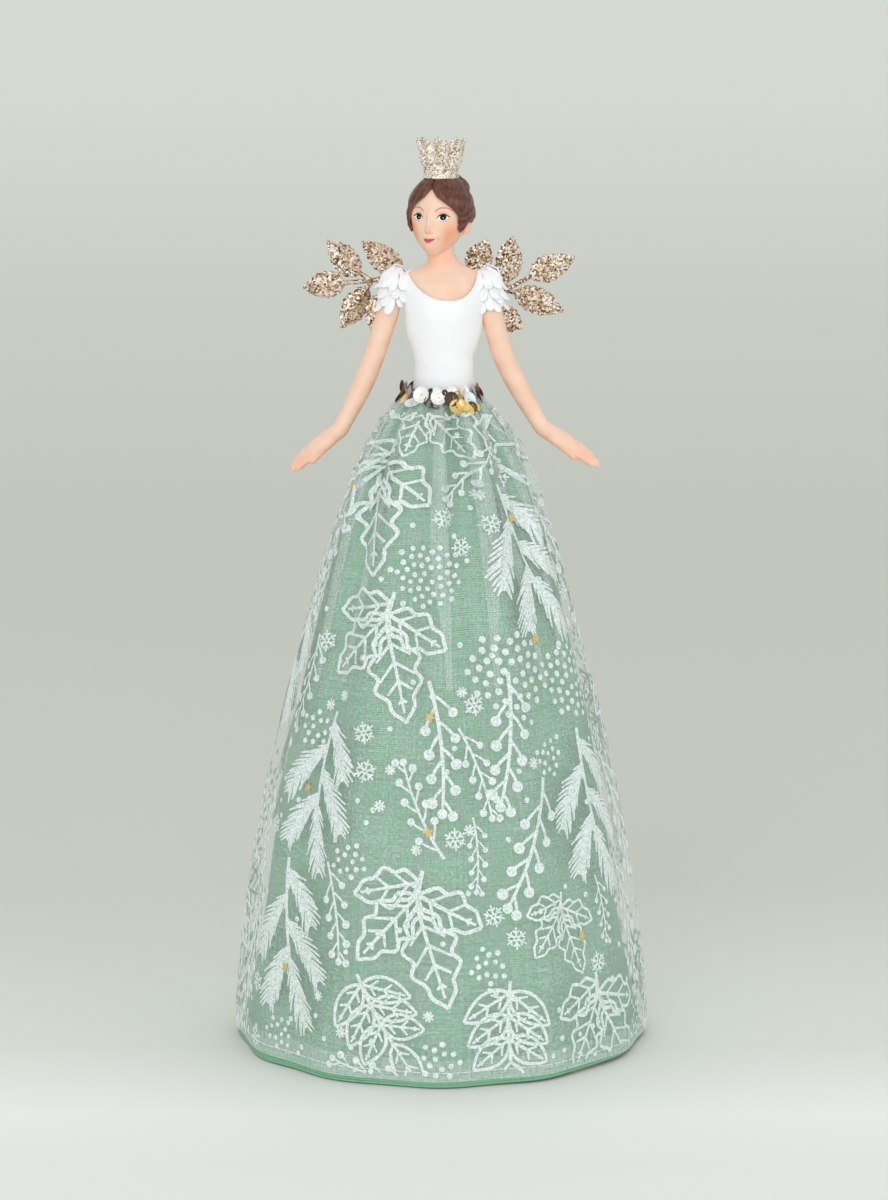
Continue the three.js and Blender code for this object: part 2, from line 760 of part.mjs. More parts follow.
function petalRoute(side, angle, layer) {
  const down = armRoute(side)[1].sub(shoulder).normalize();
  const front = new THREE.Vector3(0, -1, 0);
  const outward = front.clone().cross(down).normalize();
  const radial = outward.multiplyScalar(Math.cos(angle)).addScaledVector(front, Math.sin(angle));
  const stand = armRadius + gap + petalHalfThickness;
  const place = (along, out) => shoulder.clone().addScaledVector(down, along).addScaledVector(radial, out);
  const reach = petalLength * (1 - 0.18 * layer);
  const top = place(-stand * 1.15, petalHalfWidth * 0.6);
  const crest = place(-stand * 0.75, stand + petalLift);
  const tip = place(reach - stand * 1.15, stand + petalLift * (0.4 + 0.9 * layer));
  return { curve: new THREE.QuadraticBezierCurve3(top, crest, tip), radial };
}

function petalSolid(side, angle, layer) {
  const { curve, radial } = petalRoute(side, angle, layer);
  const widthShares = [0.7, 1.05, 1, 0.5];
  const rings = widthShares.map((share, i) => {
    const t = i / (widthShares.length - 1);
    const tangent = curve.getTangent(t);
    const across = tangent.clone().cross(radial).normalize();
    const out = across.clone().cross(tangent);
    const centre = curve.getPoint(t);
    return ellipseRing(6, (a) => centre.clone()
      .addScaledVector(across, petalHalfWidth * share * Math.cos(a))
      .addScaledVector(out, petalHalfThickness * Math.sin(a)));
  });
  rings.forEach((ring) => ring.forEach((p) => p.setX(p.x * side)));
  return toSolid(skinRings(rings, false));
}

function makeSleeve(side) {
  const petals = Array.from({ length: petalCount }, (_, i) => {
    const angle = petalSpread * (i / (petalCount - 1) - 0.5);
    return petalSolid(side, angle, i % 2);
  });
  const stand = armRadius + gap;
  const knot = ellipsoid([petalHalfWidth * 1.3, petalHalfWidth * 1.6, petalHalfThickness * 2.4], 12, 8);
  knot.translate(side * (shoulder.x - gap), shoulder.y, shoulder.z + stand * 1.2);
  const cluster = joined([bareSolid(knot), ...petals]);
  return toGeometry(cluster.subtract(joined([armSolid(side, gap), bodiceOuter(gap)])));
}

// Wings

function padCentre() {
  const back = torsoBack + chestHalfDepth * 0.86 + gap + bodiceThickness;
  return new THREE.Vector3(torsoLean, back + gap, neckBase - padDrop);
}

function makePad() {
  const centre = padCentre();
  const corner = padHeight * 0.25;
  const shape = new THREE.Shape();
  const [w, h] = [padHalfWidth, padHeight / 2];
  shape.absarc(w - corner, -h + corner, corner, -Math.PI / 2, 0);
  shape.absarc(w - corner, h - corner, corner, 0, Math.PI / 2);
  shape.absarc(-w + corner, h - corner, corner, Math.PI / 2, Math.PI);
  shape.absarc(-w + corner, -h + corner, corner, Math.PI, 1.5 * Math.PI);
  const pad = extruded(shape, padThickness + chestHalfDepth / 2, 4);
  pad.rotateX(Math.PI / 2).translate(centre.x, centre.y + padThickness, centre.z);
  return toGeometry(bareSolid(pad).subtract(bodiceOuter(gap)));
}

function wingPlane() {
  return padCentre().y + padThickness - wireRootRadius;
}

function wingRoot(side) {
  const centre = padCentre();
  return new THREE.Vector3(centre.x + side * (padHalfWidth + gap + wireRootRadius), wingPlane(), centre.z);
}

// Place where the leaves branch off
function wingHub(side, out, drop) {
  return new THREE.Vector3(side * out, wingPlane(), padCentre().z - drop);
}

function mainStem(side, hub) {
  const root = wingRoot(side);
  const middle = root.clone().lerp(hub, 0.5);
  middle.z += wireRadius * 2;
  return new THREE.QuadraticBezierCurve3(root, middle, hub);
}

function wireTube(curve, steps) {
  const section = new THREE.Shape(Array.from({ length: 6 }, (_, i) => new THREE.Vector2(
    wireRadius * Math.cos((i * Math.PI) / 3),
    wireRadius * Math.sin((i * Math.PI) / 3),
  )));
  return bareSolid(new THREE.ExtrudeGeometry(section, { steps, extrudePath: curve, bevelEnabled: false }));
}

function leafEnds([, baseOut, baseUp, tipOut, tipUp], side, hub, index) {
  const y = wingPlane() + (index % 2 ? leafStagger : -leafStagger * 0.5);
  const place = (out, up) => new THREE.Vector3(hub.x + side * out * wingReach, y, hub.z + up * wingReach);
  return { base: place(baseOut, baseUp), tip: place(tipOut, tipUp) };
}

function makeStem(side, hub, rows) {
  const main = mainStem(side, hub);
  const rootBall = ellipsoid([wireRootRadius, wireRootRadius, wireRootRadius], 8, 6);
  const root = wingRoot(side);
  const hubBall = ellipsoid([wireRadius * 1.3, wireRadius * 1.3, wireRadius * 1.3], 6, 5);
  hubBall.translate(hub.x, hub.y, hub.z);
  rootBall.translate(root.x, root.y, root.z);
  const parts = [bareSolid(rootBall), bareSolid(hubBall), wireTube(main, 3)];
  rows.forEach((row, index) => {
    const { base, tip } = leafEnds(row, side, hub, index);
    const end = base.clone().addScaledVector(tip.clone().sub(base).normalize(), -gap - wireRadius * 0.6);
    const start = main.getPoint(row[0]);
    parts.push(wireTube(new THREE.LineCurve3(start, end), 1));
  });
  return toGeometry(joined(parts));
}

// Leaf with a raised midrib and toothed edges, drawn along its length from base to tip
function makeLeaf(row, side, hub, index) {
  const { base, tip } = leafEnds(row, side, hub, index);
  const along = tip.clone().sub(base);
  const length = along.length();
  along.normalize();
  const across = new THREE.Vector3(0, 1, 0).cross(along).normalize();
  const rings = [];
  for (let i = 0; i <= leafStations; i += 1) {
    const t = i / leafStations;
    const tooth = i % 2 ? 1.06 : 0.92;
    const bulge = Math.sin(Math.PI * Math.min(0.97, Math.max(0.06, t)) ** 0.85);
    const half = leafHalfWidth * bulge * tooth;
    const centre = base.clone().addScaledVector(along, t * length);
    rings.push(leafSection(centre, across, half, bulge));
  }
  return skinRings(rings, false);
}

function leafSection(centre, across, half, bulge) {
  const thick = (leafThickness * (0.5 + 0.5 * bulge)) / 2;
  const fold = leafFold * bulge;
  const corner = (out, back) => {
    const point = centre.clone().addScaledVector(across, out);
    return point.setY(point.y + back);
  };
  return [
    corner(-half, fold + thick * 0.6), corner(-half, fold - thick * 0.6), corner(0, -thick),
    corner(half, fold - thick * 0.6), corner(half, fold + thick * 0.6), corner(0, thick),
  ];
}

// Colours

function finish(color, roughness, metalness) {
  return new THREE.MeshStandardMaterial({ color, roughness, metalness });
}

const finishes = {
  card: finish('#d9d2c2', 0.9, 0),
  cotton: finish('#6fa083', 0.9, 0),
  organza: finish('#dfeee6', 0.5, 0),
  sequin: finish('#c9a85a', 0.3, 0.8),
  skin: finish('#f3c4a2', 0.6, 0),
  hair: finish('#5a342c', 0.4, 0),
  gold: finish('#c8b189', 0.5, 0.7),
  cloth: finish('#f6f6f6', 0.9, 0),
  foil: finish('#d8b458', 0.3, 0.9),
};

// Assembly

const topper = new THREE.Group();

function addPiece(name, geometry, material) {
  geometry.computeVertexNormals();
  const mesh = new THREE.Mesh(geometry, material);
  mesh.name = name;
  topper.add(mesh);
}

addPiece('skirt_former', makeFormer(), finishes.card);
addPiece('underskirt', makeSkirtLayer(cottonHemHeight, cottonInset, cottonThickness), finishes.cotton);
addPiece('overskirt', makeSkirtLayer(organzaHemHeight, () => 0, organzaThickness), finishes.organza);
addPiece('sequin_trim', makeSequinTrim(), finishes.sequin);
addPiece('figure_casting', makeFigure(), finishes.skin);
addPiece('bodice', makeBodice(), finishes.cloth);
addPiece('hair', makeHair(), finishes.hair);
addPiece('hair_bun', makeBun(), finishes.hair);
addPiece('crown', makeCrown(), finishes.gold);
addPiece('wing_pad', makePad(), finishes.cloth);
starPlaceShares.forEach((place, i) => addPiece(`star_${i + 1}`, makeStar(place), finishes.foil));

const sides = [
  { name: 'right', side: -1, hub: wingHub(-1, wingHubOutRight, wingHubDropRight), rows: leafRightShares },
  { name: 'left', side: 1, hub: wingHub(1, wingHubOutLeft, wingHubDropLeft), rows: leafLeftShares },
];
sides.forEach(({ name, side, hub, rows }) => {
  addPiece(`arm_${name}`, makeArm(side), finishes.skin);
  addPiece(`petal_sleeve_${name}`, makeSleeve(side), finishes.cloth);
  addPiece(`wing_stem_${name}`, makeStem(side, hub, rows), finishes.gold);
  rows.forEach((row, i) => {
    addPiece(`wing_leaf_${name}_${i + 1}`, makeLeaf(row, side, hub, i), finishes.gold);
  });
});

export default topper;
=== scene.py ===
# %% [markdown]
# # Angel tree topper
# A small doll stands on a wide bell skirt. The skirt is green cotton under white organza with a glitter print,
# held at the waist by a band of cup sequins. Head, chest and arms are painted resin castings, and two sprays of
# glittered leaves stand in for wings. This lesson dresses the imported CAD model, which is loaded as a fixed frame.
# Lengths in the cells are in millimetres, and every finished mesh is brought to metres when it is made an object.

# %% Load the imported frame
import random
from math import atan2, copysign, cos, degrees, exp, hypot, pi, radians, sin, sqrt

import bmesh
import bpy
from mathutils import Matrix, Vector, noise
from mathutils.bvhtree import BVHTree
from mathutils.kdtree import KDTree


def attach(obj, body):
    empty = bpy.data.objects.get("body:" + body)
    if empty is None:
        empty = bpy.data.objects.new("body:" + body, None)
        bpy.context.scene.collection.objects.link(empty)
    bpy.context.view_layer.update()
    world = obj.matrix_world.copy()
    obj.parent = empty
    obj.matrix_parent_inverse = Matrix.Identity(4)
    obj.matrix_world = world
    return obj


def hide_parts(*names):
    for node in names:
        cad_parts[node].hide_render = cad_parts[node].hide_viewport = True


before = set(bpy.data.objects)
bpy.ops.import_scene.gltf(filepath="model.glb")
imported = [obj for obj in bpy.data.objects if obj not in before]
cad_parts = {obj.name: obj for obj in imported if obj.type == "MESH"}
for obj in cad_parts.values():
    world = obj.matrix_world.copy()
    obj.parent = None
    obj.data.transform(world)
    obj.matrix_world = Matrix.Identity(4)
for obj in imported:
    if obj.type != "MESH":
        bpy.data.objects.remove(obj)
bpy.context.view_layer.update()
MM = 0.001

# %% [markdown]
# ## Camera, floor and light
# The doll was photographed from a little above with a long lens, so the camera stands more than a metre away and
# looks down by ten degrees. One large floor fills the whole frame. Its colour holds painted light and shade that
# change with the distance from the doll, as light falls off on a paper sweep under soft lamps. Wide suns are used in
# place of soft boxes, because a sun lights the near and the far floor alike and the object keeps its plain colours.

# %% Camera
def to_object(name, data):
    """Makes data an object of the scene."""
    made = bpy.data.objects.new(name, data)
    bpy.context.scene.collection.objects.link(made)
    return made


CAMERA_PLACE, CAMERA_DIP, CAMERA_LENS = (0.0009, -1.244, 0.358), 10.04, 122.43
camera_data = bpy.data.cameras.new("camera")
camera_data.lens = CAMERA_LENS
camera_data.sensor_width = 36
camera_data.clip_end = 100
camera = to_object("camera", camera_data)
camera.location = CAMERA_PLACE
camera.rotation_euler = (radians(90 - CAMERA_DIP), 0, 0)
bpy.context.scene.camera = camera
print("camera", tuple(round(x, 3) for x in camera.location))


# %% Lamps and world
def add_sun(name, bearing, height, strength, softness, colour=(1, 1, 1)):
    """A wide sun. Its bearing is counted from the front, towards the right of the picture."""
    lamp = bpy.data.lights.new(name, "SUN")
    lamp.energy = strength
    lamp.angle = radians(softness)
    lamp.color = colour
    around, up = radians(bearing), radians(height)
    towards = Vector((sin(around) * cos(up), -cos(around) * cos(up), sin(up)))
    to_object(name, lamp).rotation_euler = towards.to_track_quat("Z", "Y").to_euler()


add_sun("key_sun", -10, 15, 0.98, 45, (1, 0.99, 0.97))
add_sun("fill_sun", 50, 8, 0.45, 60, (0.98, 0.99, 1))
add_sun("top_sun", 175, 62, 0.55, 60)
world = bpy.data.worlds.new("studio")
bpy.context.scene.world = world
world.use_nodes = True
backdrop = world.node_tree.nodes["Background"].inputs
backdrop["Color"].default_value = (0.97, 0.99, 1, 1)
backdrop["Strength"].default_value = 0.65
bpy.context.scene.view_settings.view_transform = "Standard"


# %% [markdown]
# ## Helpers for materials
# Every finish here is procedural. The helpers keep the node trees short to read: one adds a node with its
# settings, one joins two sockets, and one makes a colour ramp.

# %% Material helpers
class Finish:
    """A material with its Principled shader and short calls that add nodes to it."""

    def __init__(self, name, colour, roughness, **sockets):
        self.material = bpy.data.materials.new(name)
        self.material.use_nodes = True
        self.tree = self.material.node_tree
        self.shader = self.tree.nodes["Principled BSDF"]
        self.set(self.shader, Base_Color=(*colour, 1), Roughness=roughness, **sockets)
        self.material.diffuse_color = (*colour, 1)

    def set(self, node, **sockets):
        for socket, value in sockets.items():
            node.inputs[socket.replace("_", " ")].default_value = value

    def node(self, kind, settings=None, **sockets):
        made = self.tree.nodes.new("ShaderNode" + kind)
        for setting, value in (settings or {}).items():
            setattr(made, setting, value)
        self.set(made, **sockets)
        return made

    def link(self, source, target):
        self.tree.links.new(source, target)

    def place(self):
        """The point on the object, in metres."""
        return self.node("TexCoord").outputs["Object"]

    def flat_place(self):
        """The point on the flat cloth, in millimetres."""
        return self.node("UVMap", {"uv_map": "flat"}).outputs["UV"]

    def noise(self, where, scale, detail=2, **sockets):
        made = self.node("TexNoise", Scale=scale, Detail=detail, **sockets)
        self.link(where, made.inputs["Vector"])
        return made.outputs["Fac"]

    def cells(self, where, scale, **sockets):
        made = self.node("TexVoronoi", Scale=scale, **sockets)
        self.link(where, made.inputs["Vector"])
        return made

    def fill(self, made, output, values):
        """Gives a node's inputs their values or sockets in turn, and returns one of its outputs."""
        for socket, value in zip(made.inputs, values):
            if isinstance(value, (int, float, tuple)):
                socket.default_value = value
            else:
                self.link(value, socket)
        return made.outputs[output]

    def math(self, operation, *values):
        return self.fill(self.node("Math", {"operation": operation}), "Value", values)

    def vector(self, operation, *values, **sockets):
        return self.fill(self.node("VectorMath", {"operation": operation}, **sockets), "Vector", values)

    def ramp(self, factor, *stops):
        """A colour ramp through (place, colour) stops."""
        made = self.node("ValToRGB")
        ramp = made.color_ramp
        while len(ramp.elements) < len(stops):
            ramp.elements.new(0.5)
        for element, (position, colour) in zip(ramp.elements, stops):
            element.position = position
            element.color = (*colour, 1)
        self.link(factor, made.inputs["Fac"])
        return made.outputs["Color"]

    def mix(self, factor, a, b):
        """A colour mixed from two colours or sockets."""
        made = self.node("Mix", {"data_type": "RGBA"})
        self.link(factor, made.inputs["Factor"])
        colour_inputs = [s for s in made.inputs if s.type == "RGBA"]
        for socket, value in zip(colour_inputs, (a, b)):
            if isinstance(value, tuple):
                socket.default_value = (*value, 1)
            else:
                self.link(value, socket)
        return next(s for s in made.outputs if s.type == "RGBA")

    def colour(self, source):
        self.link(source, self.shader.inputs["Base Color"])

    def mottle(self, size, detail, deep, pale):
        """Two tones, mixed by noise of this size in millimetres, which is returned."""
        fleck = self.noise(self.place(), per_mm(size), detail)
        self.colour(self.ramp(fleck, (0.3, deep), (0.7, pale)))
        return fleck

    def bump(self, height, strength, depth):
        """Relief of this depth in millimetres."""
        made = self.node("Bump", Strength=strength, Distance=depth * MM)
        self.link(height, made.inputs["Height"])
        self.link(made.outputs["Normal"], self.shader.inputs["Normal"])


def per_mm(wavelength):
    """Texture scale on Object coordinates for features of this size in millimetres."""
    return 1 / (wavelength * MM)


# %% Floor
def to_mesh(bm, name):
    """Makes a bmesh mesh data, and frees it."""
    mesh = bpy.data.meshes.new(name)
    bm.to_mesh(mesh)
    bm.free()
    return mesh


# Painted light and shade on the floor: a painted pool of light just in front of the hem, a painted darker band
# further back, and lighter again far off. With d as the metres behind a line 0.2 m in front of the doll, a tone
# lies at d / (d + 1)
PAINTED_SWEEP_LIGHT = (
    (0.0, (0.86, 0.88, 0.835)), (0.06, (0.86, 0.885, 0.83)), (0.1, (0.91, 0.93, 0.89)), (0.155, (0.76, 0.79, 0.72)),
    (0.2, (0.725, 0.76, 0.69)), (0.28, (0.635, 0.66, 0.585)), (0.54, (0.58, 0.60, 0.525)),
    (0.71, (0.635, 0.66, 0.59)), (0.86, (0.73, 0.755, 0.69)),
)
paper = Finish("paper_sweep", (0.7, 0.72, 0.68), 0.9)
paper_axes = paper.node("SeparateXYZ")
paper.link(paper.place(), paper_axes.inputs[0])
behind = paper.math("MAXIMUM", paper.math("ADD", paper_axes.outputs["Y"], 0.2), 0.0)
paper.colour(paper.ramp(paper.math("DIVIDE", behind, paper.math("ADD", behind, 1.0)), *PAINTED_SWEEP_LIGHT))
floor_mesh = bmesh.new()
bmesh.ops.create_grid(floor_mesh, x_segments=8, y_segments=8, size=30)
floor = to_object("floor", to_mesh(floor_mesh, "floor"))
floor.data.materials.append(paper.material)
print("floor", [round(x, 2) for x in floor.dimensions])


# %% [markdown]
# ## Helpers for shapes
# Cloth, hair, skin and leaves are all made the same way: a flat grid, as flat as cut cloth, is bent by a rule that
# says where each of its points goes. The grid's own flat place is kept as a UV map in millimetres, so a weave
# follows the cloth. Rolled up, the same grid makes rods. Rounder pieces start from circles and spheres.

# %% Shape helpers
def smooth_through(stops, values, at):
    """A smooth curve through the values at the stops, with no overshoot."""
    if at <= stops[0]:
        return values[0]
    if at >= stops[-1]:
        return values[-1]
    i = max(k for k, stop in enumerate(stops) if stop <= at)

    def slope(k):
        if k == 0 or k == len(stops) - 1:
            k0, k1 = (0, 1) if k == 0 else (k - 1, k)
            return (values[k1] - values[k0]) / (stops[k1] - stops[k0])
        before = (values[k] - values[k - 1]) / (stops[k] - stops[k - 1])
        after = (values[k + 1] - values[k]) / (stops[k + 1] - stops[k])
        return 0 if before * after <= 0 else 2 * before * after / (before + after)

    span = stops[i + 1] - stops[i]
    t = (at - stops[i]) / span
    s = 1 - t
    return (
        values[i] * (1 + 2 * t) * s * s
        + slope(i) * span * t * s * s
        + values[i + 1] * (3 - 2 * t) * t * t
        - slope(i + 1) * span * s * t * t
    )


def bell_curve(x, middle, width):
    """1 at the middle, falling to 0 on both sides."""
    return exp(-(((x - middle) / width) ** 2))


def ease(x):
    """0 below 0, 1 above 1 and a smooth rise in between."""
    x = min(1, max(0, x))
    return x * x * (3 - 2 * x)


def bent_grid(columns, rows, rule, flat=(1, 1), meet=0.001):
    """A grid whose point at (u, v), both from 0 to 1, goes where the rule says. Points that meet are joined."""
    bm = bmesh.new()
    layer = bm.loops.layers.uv.new("flat") if flat else None
    bmesh.ops.create_grid(bm, x_segments=columns, y_segments=rows, size=0.5)
    if flat:
        for loop in (loop for face in bm.faces for loop in face.loops):
            x, y, _ = loop.vert.co
            loop[layer].uv = ((x + 0.5) * flat[0], (y + 0.5) * flat[1])
    for vert in bm.verts:
        vert.co = rule(vert.co.x + 0.5, vert.co.y + 0.5)
    if meet:
        bmesh.ops.remove_doubles(bm, verts=bm.verts, dist=meet)
    return bm


def turn_outwards(bm):
    """Open shells, whose inside the recalculation can't tell, are turned to face away from their middle."""
    if not any(edge.is_boundary for edge in bm.edges):
        return
    middle = sum((vert.co for vert in bm.verts), Vector()) / len(bm.verts)
    facing = sum((face.calc_center_median() - middle).dot(face.normal) * face.calc_area() for face in bm.faces)
    if facing < 0:
        bmesh.ops.reverse_faces(bm, faces=bm.faces)


def add_piece(bm, name, finish, body="figure", smooth=True, recalculate=True):
    """Makes a bmesh in millimetres an object in metres that rides on a body."""
    if recalculate:
        bmesh.ops.recalc_face_normals(bm, faces=bm.faces)
        turn_outwards(bm)
    bmesh.ops.scale(bm, vec=(MM, MM, MM), verts=bm.verts)
    mesh = to_mesh(bm, name)
    if finish:
        mesh.materials.append(finish.material)
    mesh.polygons.foreach_set("use_smooth", [smooth] * len(mesh.polygons))
    piece = to_object(name, mesh)
    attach(piece, body)
    print(name, len(mesh.polygons), "faces")
    return piece


def thicken(piece, thickness, offset=-1):
    """Gives a piece walls of this thickness in millimetres, inwards by default."""
    wall = piece.modifiers.new("wall", "SOLIDIFY")
    wall.thickness = thickness * MM
    wall.offset = offset


def join(total, part, matrix=None):
    """Adds one bmesh to another, moved by the matrix."""
    if matrix is not None:
        bmesh.ops.transform(part, matrix=matrix, verts=part.verts)
    mesh = to_mesh(part, "part")
    total.from_mesh(mesh)
    bpy.data.meshes.remove(mesh)


# %% [markdown]
# ## The bell of the skirt
# Both skirts hang over a stiff bell. These are the CAD's own numbers, so the cloth lies where its solids are:
# the outline from hem to waist, twelve soft folds, and how far the organza stands off the cotton. The scene adds
# what a rigid solid can't show: box pleats that fan out below the waist, and fine puckers under the band.

# %% Outline and folds
SKIRT_HEIGHT = 203.0
HEM_RADIUS = 64.3
WAIST_RADIUS = 10.8
BELL_HEIGHTS = (0, 0.07, 0.2, 0.42, 0.62, 0.79, 0.9, 0.96, 1)
BELL_FLARES = (1, 0.985, 0.932, 0.785, 0.594, 0.411, 0.247, 0.118, 0)
BELL_LOFTS = (0.02, 0.6, 1, 0.75, 0.5, 0.32, 0.2, 0.14, 0.05)
FOLD_SHARES = (0.5, 0.5, 0.5, 0.55, 0.65, 0.85, 1, 0.6, 0.15)
FOLD_DEPTH = 1.5
ORGANZA_LOFT = 5.4
LAYER_CLEARANCE = 1.1
FOLDS = 12
HEADER_FOOT, HEADER_TOP = SKIRT_HEIGHT - 3, 203.9
# The box pleats below the waist, as bearings from the front in degrees
PLEATS = ((-44, 4), (22, 47), (58, 88), (104, 131), (148, 176), (-167, -139), (-122, -97), (-83, -56))
PLEAT_HEIGHTS, PLEAT_RISES = (90, 130, 160, 180, 192, 198, 202), (0, 0.5, 1.6, 3.4, 3.6, 2.4, 0.5)
SOFTENING_HEIGHTS, SOFTENINGS = (100, 150, 185), (14, 7, 3)


def bell_radius(height):
    flare = smooth_through(BELL_HEIGHTS, BELL_FLARES, height / SKIRT_HEIGHT)
    return WAIST_RADIUS + (HEM_RADIUS - WAIST_RADIUS) * flare


def fold_offset(angle, height):
    deep = FOLD_DEPTH * smooth_through(BELL_HEIGHTS, FOLD_SHARES, height / SKIRT_HEIGHT)
    uneven = 1 + 0.3 * sin(2 * angle) ** 2 * cos(5 * angle)
    return deep * uneven * cos(FOLDS * angle)


def pleat_offset(bearing, height):
    """Box pleats: flat tops with steep sides that soften further down."""
    rise = smooth_through(PLEAT_HEIGHTS, PLEAT_RISES, height)
    if rise <= 0:
        return 0
    soft = smooth_through(SOFTENING_HEIGHTS, SOFTENINGS, height)
    top = max(ease((bearing - a) / soft + 0.5) * ease((b - bearing) / soft + 0.5) for a, b in PLEATS)
    return rise * (top - 0.45)


def pucker_offset(bearing, height):
    """Fine gathers that the thread pulls in just below and above the band."""
    pull = smooth_through((168, 186, 196, 203), (0, 0.16, 0.3, 0.3), height)
    turn = radians(bearing)
    return pull * (cos(37 * turn + 1.3 * sin(5 * turn)) + 0.5 * cos(61 * turn))


def from_bearing(bearing, radius, height):
    """A point at a bearing from the front, counted towards the right of the picture."""
    turn = radians(bearing)
    return Vector((radius * sin(turn), -radius * cos(turn), height))


def signed_bearing(share):
    """The bearing at a share of the way round, from -180 to 180."""
    return 360 * share - 180


def organza_radius(bearing, height):
    folded = bell_radius(height) + fold_offset(radians(bearing - 90), height)
    return folded + pleat_offset(bearing, height) + pucker_offset(bearing, height)


def cotton_radius(bearing, height):
    loft = ORGANZA_LOFT * smooth_through(BELL_HEIGHTS, BELL_LOFTS, height / SKIRT_HEIGHT)
    folded = bell_radius(height) - LAYER_CLEARANCE - loft + fold_offset(radians(bearing - 90), height)
    return folded + 0.6 * pleat_offset(bearing, height) + 0.7 * pucker_offset(bearing, height)


def organza_hem(bearing):
    """The organza's lower edge hangs a little higher on the doll's right."""
    return 2.1 + 1.1 * bell_curve(bearing, -70, 45) + 0.3 * sin(radians(2 * bearing))


def cotton_hem(bearing):
    """The cotton's lower edge just clears the floor, and lifts a little on the doll's left."""
    return 0.35 + 0.9 * bell_curve(bearing, 60, 35)


def frilled_radius(radius_at, bearing, height, rim, waves):
    """The gathered header above the band: it widens to the rim, which is frilled by two waves."""
    turn = radians(bearing)
    deep, count, drift, fine_deep, fine_count = waves
    frill = deep * cos(count * turn + sin(drift * turn)) + fine_deep * cos(fine_count * turn)
    tied = radius_at(bearing, HEADER_FOOT)
    return tied + (rim + frill - tied) * ease((height - HEADER_FOOT) / (SKIRT_HEIGHT - HEADER_FOOT))


print("radius at the hem", organza_radius(0, 2), "at the waist", organza_radius(0, SKIRT_HEIGHT))

# %% [markdown]
# ## Green cotton
# The underskirt is a plain open weave, like muslin. Two waves make the threads, one along each side of the flat
# cloth, and stretched noise makes some threads thicker and darker than others. The same pattern drives the relief.


# %% Weave
def woven(finish, thread, where, uneven=0.35):
    """The height of a plain weave, with threads of this pitch in millimetres on the flat cloth."""
    waves = []
    for direction, stretch in (("X", (0.03, 1, 1)), ("Y", (1, 0.03, 1))):
        wave = finish.node(
            "TexWave",
            {"wave_type": "BANDS", "bands_direction": direction},
            Scale=0.31416 / thread,
            Distortion=0.6,
            Detail=1,
            Detail_Scale=1.5,
        )
        finish.link(where, wave.inputs["Vector"])
        mapping = finish.node("Mapping", Scale=stretch)
        finish.link(where, mapping.inputs["Vector"])
        slub = finish.noise(mapping.outputs["Vector"], 1.1 / thread, 1)
        weight = finish.math("MULTIPLY", slub, 2 * uneven)
        waves.append(finish.math("ADD", wave.outputs["Fac"], weight))
    return finish.math("DIVIDE", finish.math("MAXIMUM", *waves), 1 + 1.3 * uneven)


cotton = Finish("green_cotton", (0.13, 0.36, 0.20), 0.9, Sheen_Weight=0.1, Sheen_Roughness=0.6)
cotton_weave = woven(cotton, 0.74, cotton.flat_place(), 0.6)
cotton_tone = cotton.ramp(
    cotton_weave,
    (0.45, (0.03, 0.17, 0.08)),
    (0.72, (0.16, 0.41, 0.24)),
    (0.9, (0.30, 0.58, 0.40)),
)
cotton_patch = cotton.noise(cotton.flat_place(), 0.06, 3)
cotton_slub = cotton.noise(cotton.flat_place(), 1.15, 2)
cotton_fleck = cotton.ramp(cotton_slub, (0.42, (0, 0, 0)), (0.66, (0.6, 0.6, 0.6)))
cotton_worn = cotton.math("MULTIPLY", cotton_patch, 0.35)
cotton_ground = cotton.mix(cotton_worn, cotton_tone, (0.15, 0.38, 0.22))
cotton.colour(cotton.mix(cotton_fleck, cotton_ground, (0.22, 0.48, 0.31)))
cotton.bump(cotton_weave, 0.6, 0.08)

# %% Underskirt
COTTON_COLUMNS, COTTON_ROWS = 288, 120
COTTON_FLAT = (400, 214)
COTTON_HEADER = (10.6, (0.35, 29, 3, 0.2, 53))


def cotton_place(u, v):
    bearing = signed_bearing(u)
    foot = cotton_hem(bearing)
    height = foot + (HEADER_TOP - foot) * v
    if height > HEADER_FOOT:
        return from_bearing(bearing, frilled_radius(cotton_radius, bearing, height, *COTTON_HEADER), height)
    hem_roll = 0.35 * (1 - ease(abs(height - 1.2) / 1.3)) + 0.2 * bell_curve(height, 9.5, 0.4)
    return from_bearing(bearing, cotton_radius(bearing, height) + hem_roll, height)


cotton_cloth = bent_grid(COTTON_COLUMNS, COTTON_ROWS, cotton_place, COTTON_FLAT)
underskirt = add_piece(cotton_cloth, "green_underskirt", cotton)
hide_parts("underskirt")

# %% [markdown]
# ## White organza
# Organza is so thin that a solid wall would look like plastic. One surface is kept, and its threads are drawn by
# the alpha: each thread is pale and partly solid, and each gap between threads is nearly clear. Seen from further
# off this is a white veil. Where the veil turns edge-on its threads crowd together, and sheen gives that pale rim.

# %% Organza
organza = Finish("white_organza", (0.86, 0.92, 0.90), 0.55, Sheen_Weight=1.0, Sheen_Roughness=0.5)
organza_weave = woven(organza, 0.66, organza.flat_place(), 0.6)
organza_cloud = organza.noise(organza.flat_place(), 0.05, 3)
organza_open = organza.node("MapRange", From_Min=0.42, From_Max=1.0, To_Min=0.02, To_Max=0.45)
organza.link(organza_weave, organza_open.inputs["Value"])
organza_grain = organza.noise(organza.flat_place(), 1.0, 3)
organza_patch = organza.math(
    "ADD",
    organza.math("MULTIPLY", organza_cloud, 0.4),
    organza.math("MULTIPLY", organza_grain, 2.3),
)
organza_cover = organza.math("ADD", organza_patch, -0.4)
organza_alpha = organza.math("MULTIPLY", organza_open.outputs["Result"], organza_cover)
organza.link(organza_alpha, organza.shader.inputs["Alpha"])
organza.bump(organza_weave, 0.3, 0.05)

ORGANZA_COLUMNS, ORGANZA_ROWS = 288, 130
ORGANZA_FLAT = (400, 218)
ORGANZA_HEADER = (11.4, (0.4, 23, 4, 0.25, 47))


